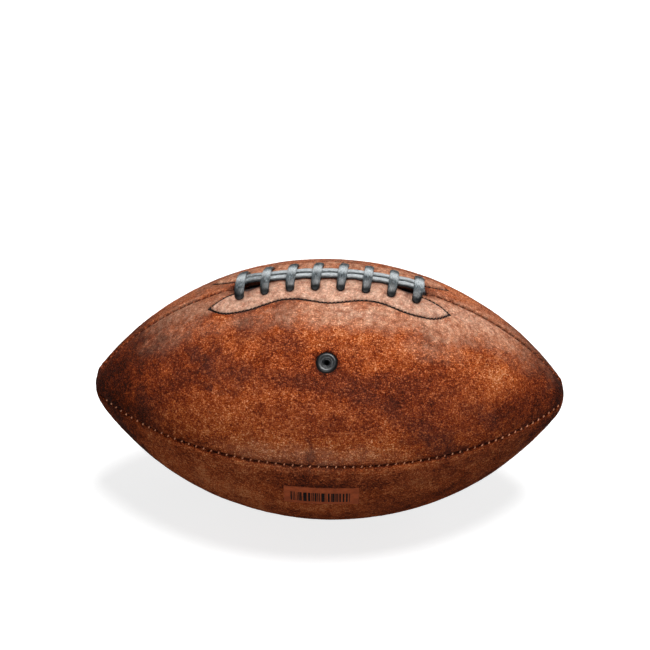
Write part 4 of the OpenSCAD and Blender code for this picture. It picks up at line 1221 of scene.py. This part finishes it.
# ---- Stitches: one Geometry Nodes tree lays bent threads along a line ----
def stitch_tree():
    tree = bpy.data.node_groups.new("stitches_along_line", "GeometryNodeTree")
    face = tree.interface
    face.new_socket("Line", in_out="INPUT", socket_type="NodeSocketGeometry")
    for text, value in (("Pitch", 0.0049), ("Length", 0.0036), ("Thickness", 0.0008), ("Rise", 0.0005),
                        ("Slant", 0.0), ("Unevenness", 0.1)):
        face.new_socket(text, in_out="INPUT", socket_type="NodeSocketFloat").default_value = value
    face.new_socket("Seed", in_out="INPUT", socket_type="NodeSocketInt")
    face.new_socket("Thread", in_out="INPUT", socket_type="NodeSocketMaterial")
    face.new_socket("Stitches", in_out="OUTPUT", socket_type="NodeSocketGeometry")
    given, result = tree.nodes.new("NodeGroupInput"), tree.nodes.new("NodeGroupOutput")

    def bend(length, rise):
        """A point of the stitch, in shares of its length and rise."""
        return put(tree, "ShaderNodeCombineXYZ", {
            "X": calc(tree, "MULTIPLY", given.outputs["Length"], length),
            "Z": calc(tree, "MULTIPLY", given.outputs["Rise"], rise)}).outputs[0]

    line = put(tree, "GeometryNodeMeshToCurve", {"Mesh": given.outputs["Line"]}).outputs["Curve"]
    line = put(tree, "GeometryNodeResampleCurve", {"Curve": line, "Length": given.outputs["Pitch"]},
               mode="LENGTH").outputs["Curve"]
    bow = put(tree, "GeometryNodeCurveQuadraticBezier",
              {"Resolution": 6, "Start": bend(-0.5, -1.0), "Middle": bend(0.0, 1.0), "End": bend(0.5, -1.0)}
              ).outputs["Curve"]
    radius = calc(tree, "MULTIPLY", given.outputs["Thickness"], 0.5)
    section = put(tree, "GeometryNodeCurvePrimitiveCircle",
                  {"Resolution": 6, "Radius": radius}).outputs["Curve"]
    stitch = put(tree, "GeometryNodeCurveToMesh",
                 {"Curve": bow, "Profile Curve": section, "Fill Caps": True}).outputs["Mesh"]
    tangent = tree.nodes.new("GeometryNodeInputTangent").outputs["Tangent"]
    out = put(tree, "GeometryNodeInputNamedAttribute", {"Name": "out"},
              data_type="FLOAT_VECTOR").outputs["Attribute"]
    turned_to = put(tree, "FunctionNodeAlignRotationToVector", {"Vector": tangent}, axis="X").outputs[0]
    turned_to = put(tree, "FunctionNodeAlignRotationToVector", {"Rotation": turned_to, "Vector": out},
                    axis="Z", pivot_axis="X").outputs[0]
    stray = put(tree, "FunctionNodeRandomValue", {"Seed": given.outputs["Seed"]}, data_type="FLOAT")
    stray.inputs[2].default_value, stray.inputs[3].default_value = -1.0, 1.0
    swing = calc(tree, "MULTIPLY_ADD", stray.outputs[1], given.outputs["Unevenness"], given.outputs["Slant"])
    swing = put(tree, "FunctionNodeAxisAngleToRotation", {"Axis": (0, 0, 1), "Angle": swing}).outputs[0]
    turned_to = put(tree, "FunctionNodeRotateRotation", {"Rotation": turned_to, "Rotate By": swing},
                    rotation_space="LOCAL").outputs[0]
    placed = put(tree, "GeometryNodeInstanceOnPoints",
                 {"Points": line, "Instance": stitch, "Rotation": turned_to}).outputs["Instances"]
    solid = put(tree, "GeometryNodeRealizeInstances", {"Geometry": placed}).outputs[0]
    smooth = put(tree, "GeometryNodeSetShadeSmooth", {0: solid}).outputs[0]
    dressed = put(tree, "GeometryNodeSetMaterial",
                  {"Geometry": smooth, "Material": given.outputs["Thread"]}).outputs[0]
    tree.links.new(dressed, result.inputs["Stitches"])
    return tree


STITCHES = stitch_tree()


def sew(name, lines, material, slot, replaced, **sizes):
    """Threads along lines of (points, outward directions), as one plain mesh."""
    points, outs, edges = [], [], []
    for line_points, line_outs in lines:
        first = len(points)
        points += list(line_points)
        outs += list(line_outs)
        edges += [(first + i, first + i + 1) for i in range(len(line_points) - 1)]
    mesh = bpy.data.meshes.new(name)
    mesh.from_pydata((np.array(points) * MM).tolist(), edges, [])
    mesh.attributes.new("out", "FLOAT_VECTOR", "POINT").data.foreach_set("vector", np.array(outs).ravel())
    piece = add_object(name, mesh)
    modifier = piece.modifiers.new("stitches", "NODES")
    modifier.node_group = STITCHES
    for item in STITCHES.interface.items_tree:
        if item.in_out == "INPUT" and item.name in sizes:
            modifier[item.identifier] = sizes[item.name]
        if item.in_out == "INPUT" and item.name == "Thread":
            modifier[item.identifier] = material
    piece.data = evaluated_mesh(piece)
    piece.modifiers.clear()
    for face in piece.data.polygons:
        face.use_smooth = True
    return finish_piece(piece, material, slot, replaced)


def seam_line(turn, first, last, depth):
    run = np.linspace(first, last, 160)
    x, _, tilt = meridian(run)
    return over_ball(x, turn, -depth), outward(x, turn)


NOSE_STOP = HALF_RUN - 13        # where the threads end before the noses
FRONT_BARE = 8                   # more of the front seam's left end without thread
slot_run = SIDE_RADIUS * math.asin((SLOT_HALF + 2) / SIDE_RADIUS)
seam_sizes = dict(Pitch=STITCH_PITCH * MM, Length=0.0012, Thickness=0.0007, Rise=0.0004, Slant=1.1,
                  Unevenness=0.25)
for name, turn, first, last in (
        ("top_seam_thread_left", 0, -NOSE_STOP, -slot_run), ("top_seam_thread_right", 0, slot_run, NOSE_STOP),
        ("front_seam_thread", QUARTER, FRONT_BARE - NOSE_STOP, NOSE_STOP),
        ("bottom_seam_thread", math.pi, -NOSE_STOP, NOSE_STOP),
        ("rear_seam_thread", -QUARTER, -NOSE_STOP, NOSE_STOP)):
    sew(name + "_stitches", [seam_line(turn, first, last, THREAD_DEPTH)],
        brown_thread if turn == 0 else seam_thread, "seam_thread", name, Seed=71, **seam_sizes)

OUTLINE_RISE = 0.34              # of the outline's thread over the leather
outline_sizes = dict(Pitch=0.0023, Length=0.0028, Thickness=0.0009, Rise=0.0003, Slant=0.45, Unevenness=0.08)
for side, name in ((1, "front_facing_stitching"), (-1, "rear_facing_stitching")):
    x, reach = OUTLINE[:, 0], OUTLINE[:, 1] * side
    turn = reach / radius_at(x)
    stops = [0, int(np.argmin(x)), int(np.argmax(x)), len(x) - 1]
    lines = []
    for a, b in zip(stops, stops[1:]):
        part = slice(a, b + 1)
        level = relief(x[part], turn[part]) + OUTLINE_RISE
        lines.append((over_ball(x[part], turn[part], level), outward(x[part], turn[part])))
    sew(name + "_stitches", lines, black_thread, "black_thread", name, Seed=72, **outline_sizes)


# ---- Finishes on the pieces ----
for name, piece in panels.items():
    finish_piece(piece, upper_leather if "upper" in name else lower_leather, "panel_leather", name)
finish_piece(lace, lace_material, "lace", "lace")
finish_piece(valve_body, valve_material, "valve_rubber", "valve_body")
finish_piece(valve_plug, valve_material, "valve_rubber", "valve_plug")
finish_piece(label, label_material, "panel_leather")
for material, names in (
        (facing_material, ("front_lace_facing", "rear_lace_facing", "lace_tongue")),
        (lining_material, [panel.replace("panel", "lining") for panel in panels]),
        (bladder_material, ("bladder", "valve_patch"))):
    for name in names:
        for slot in nodes[name].material_slots:
            slot.material = material


# ---- Floor, light and camera ----
SHINE_SHARE = 0.04               # of the white ground, as the leather mirrors it
FLOOR_HALF, FLOOR_DULL, FLOOR_PALE = 4.0, (0.12, 0.12, 0.12, 1.0), (0.5, 0.5, 0.5, 1.0)
PAPER_NEAR, PAPER_FAR = (0.5, 0.75), (1.3, 1.1)    # distance from the ball and how white it is there
WHITE = (1, 1, 1, 1)
SKY = 0.06
LAMPS = [                        # name, place, aim, size, watts
    ("key_above", (0.16, -0.08, 1.11), (0, 0, 0.08), 0.6, 19),
    ("rear_right", (0.8, 0.7, 0.5), (0, 0, 0.1), 0.5, 1.2),
    ("rear_left", (-0.8, 0.7, 0.5), (0, 0, 0.1), 0.5, 0.6),
    ("front_fill", (-0.2, -1.3, 0.3), (0, 0, 0.08), 0.9, 8.0),
]
CAMERA_TILT, CAMERA_YAW, CAMERA_ROLL = math.radians(34.3), math.radians(1.5), math.radians(0.6)
CAMERA_AWAY = 11.5 * BALL_RADIUS * MM
CAMERA_SENSOR, CAMERA_LENS, CAMERA_SHIFT = 36.0, 82.85, (-0.0062, 0.0985)


def seen_share(tree):
    """1 where the eye sees white paper, and less in the dull shine of the leather."""
    paths = put(tree, "ShaderNodeLightPath")
    clear = calc(tree, "MAXIMUM", paths.outputs["Is Camera Ray"], paths.outputs["Is Transmission Ray"])
    return calc(tree, "MAXIMUM", clear, calc(tree, "MULTIPLY", paths.outputs["Is Glossy Ray"], SHINE_SHARE))


def make_floor():
    mesh = bpy.data.meshes.new("floor")
    corners = [(x * FLOOR_HALF, y * FLOOR_HALF, 0) for x, y in ((-1, -1), (1, -1), (1, 1), (-1, 1))]
    mesh.from_pydata(corners, [], [(0, 1, 2, 3)])
    floor = add_object("floor", mesh)
    material = bpy.data.materials.new("white_floor")
    tree = cleared_tree(material)
    seen = seen_share(tree)
    pale = blend_colour(tree, seen, FLOOR_DULL, FLOOR_PALE)
    matt = put(tree, "ShaderNodeBsdfDiffuse", {"Color": pale})
    away = put(tree, "ShaderNodeVectorMath", {0: object_place(tree)}, operation="LENGTH").outputs["Value"]
    paper = remap(tree, away, PAPER_NEAR[0], PAPER_FAR[0], PAPER_NEAR[1], PAPER_FAR[1])
    white = put(tree, "ShaderNodeEmission", {"Color": WHITE, "Strength": calc(tree, "MULTIPLY", seen, paper)})
    both = put(tree, "ShaderNodeAddShader", {0: matt.outputs[0], 1: white.outputs[0]})
    put(tree, "ShaderNodeOutputMaterial", {"Surface": both.outputs[0]})
    mesh.materials.append(material)


def make_world():
    world = bpy.data.worlds.new("studio")
    bpy.context.scene.world = world
    tree = cleared_tree(world)
    level = put(tree, "ShaderNodeMix", {0: seen_share(tree), 2: SKY, 3: 1.0}, data_type="FLOAT").outputs[0]
    sky = put(tree, "ShaderNodeBackground", {"Color": WHITE, "Strength": level})
    put(tree, "ShaderNodeOutputWorld", {"Surface": sky.outputs[0]})


def make_lamp(name, place, target, size, power):
    lamp = bpy.data.lights.new(name, "AREA")
    lamp.shape, lamp.size, lamp.energy = "DISK", size, power
    holder = add_object(name, lamp)
    holder.location = place
    aim = np.array(target) - np.array(place)
    holder.rotation_euler = Vector(aim).to_track_quat("-Z", "Y").to_euler()


def make_camera():
    level = Vector((-math.sin(CAMERA_YAW), math.cos(CAMERA_YAW), 0))
    right = Vector((math.cos(CAMERA_YAW), math.sin(CAMERA_YAW), 0))
    ahead = level * math.cos(CAMERA_TILT) - Vector((0, 0, math.sin(CAMERA_TILT)))
    up = right.cross(ahead)
    c, s = math.cos(CAMERA_ROLL), math.sin(CAMERA_ROLL)
    right, up = right * c + up * s, up * c - right * s
    data = bpy.data.cameras.new("camera")
    data.sensor_width, data.lens = CAMERA_SENSOR, CAMERA_LENS
    data.shift_x, data.shift_y = CAMERA_SHIFT
    camera = add_object("camera", data)
    place = Vector((0, 0, BALL_RADIUS * MM)) - ahead * CAMERA_AWAY
    turned_axes = Matrix((right, up, -ahead)).transposed().to_4x4()
    camera.matrix_world = Matrix.Translation(place) @ turned_axes
    bpy.context.scene.camera = camera


make_floor()
make_world()
for lamp in LAMPS:
    make_lamp(*lamp)
make_camera()
bpy.context.scene.view_settings.view_transform = "Standard"
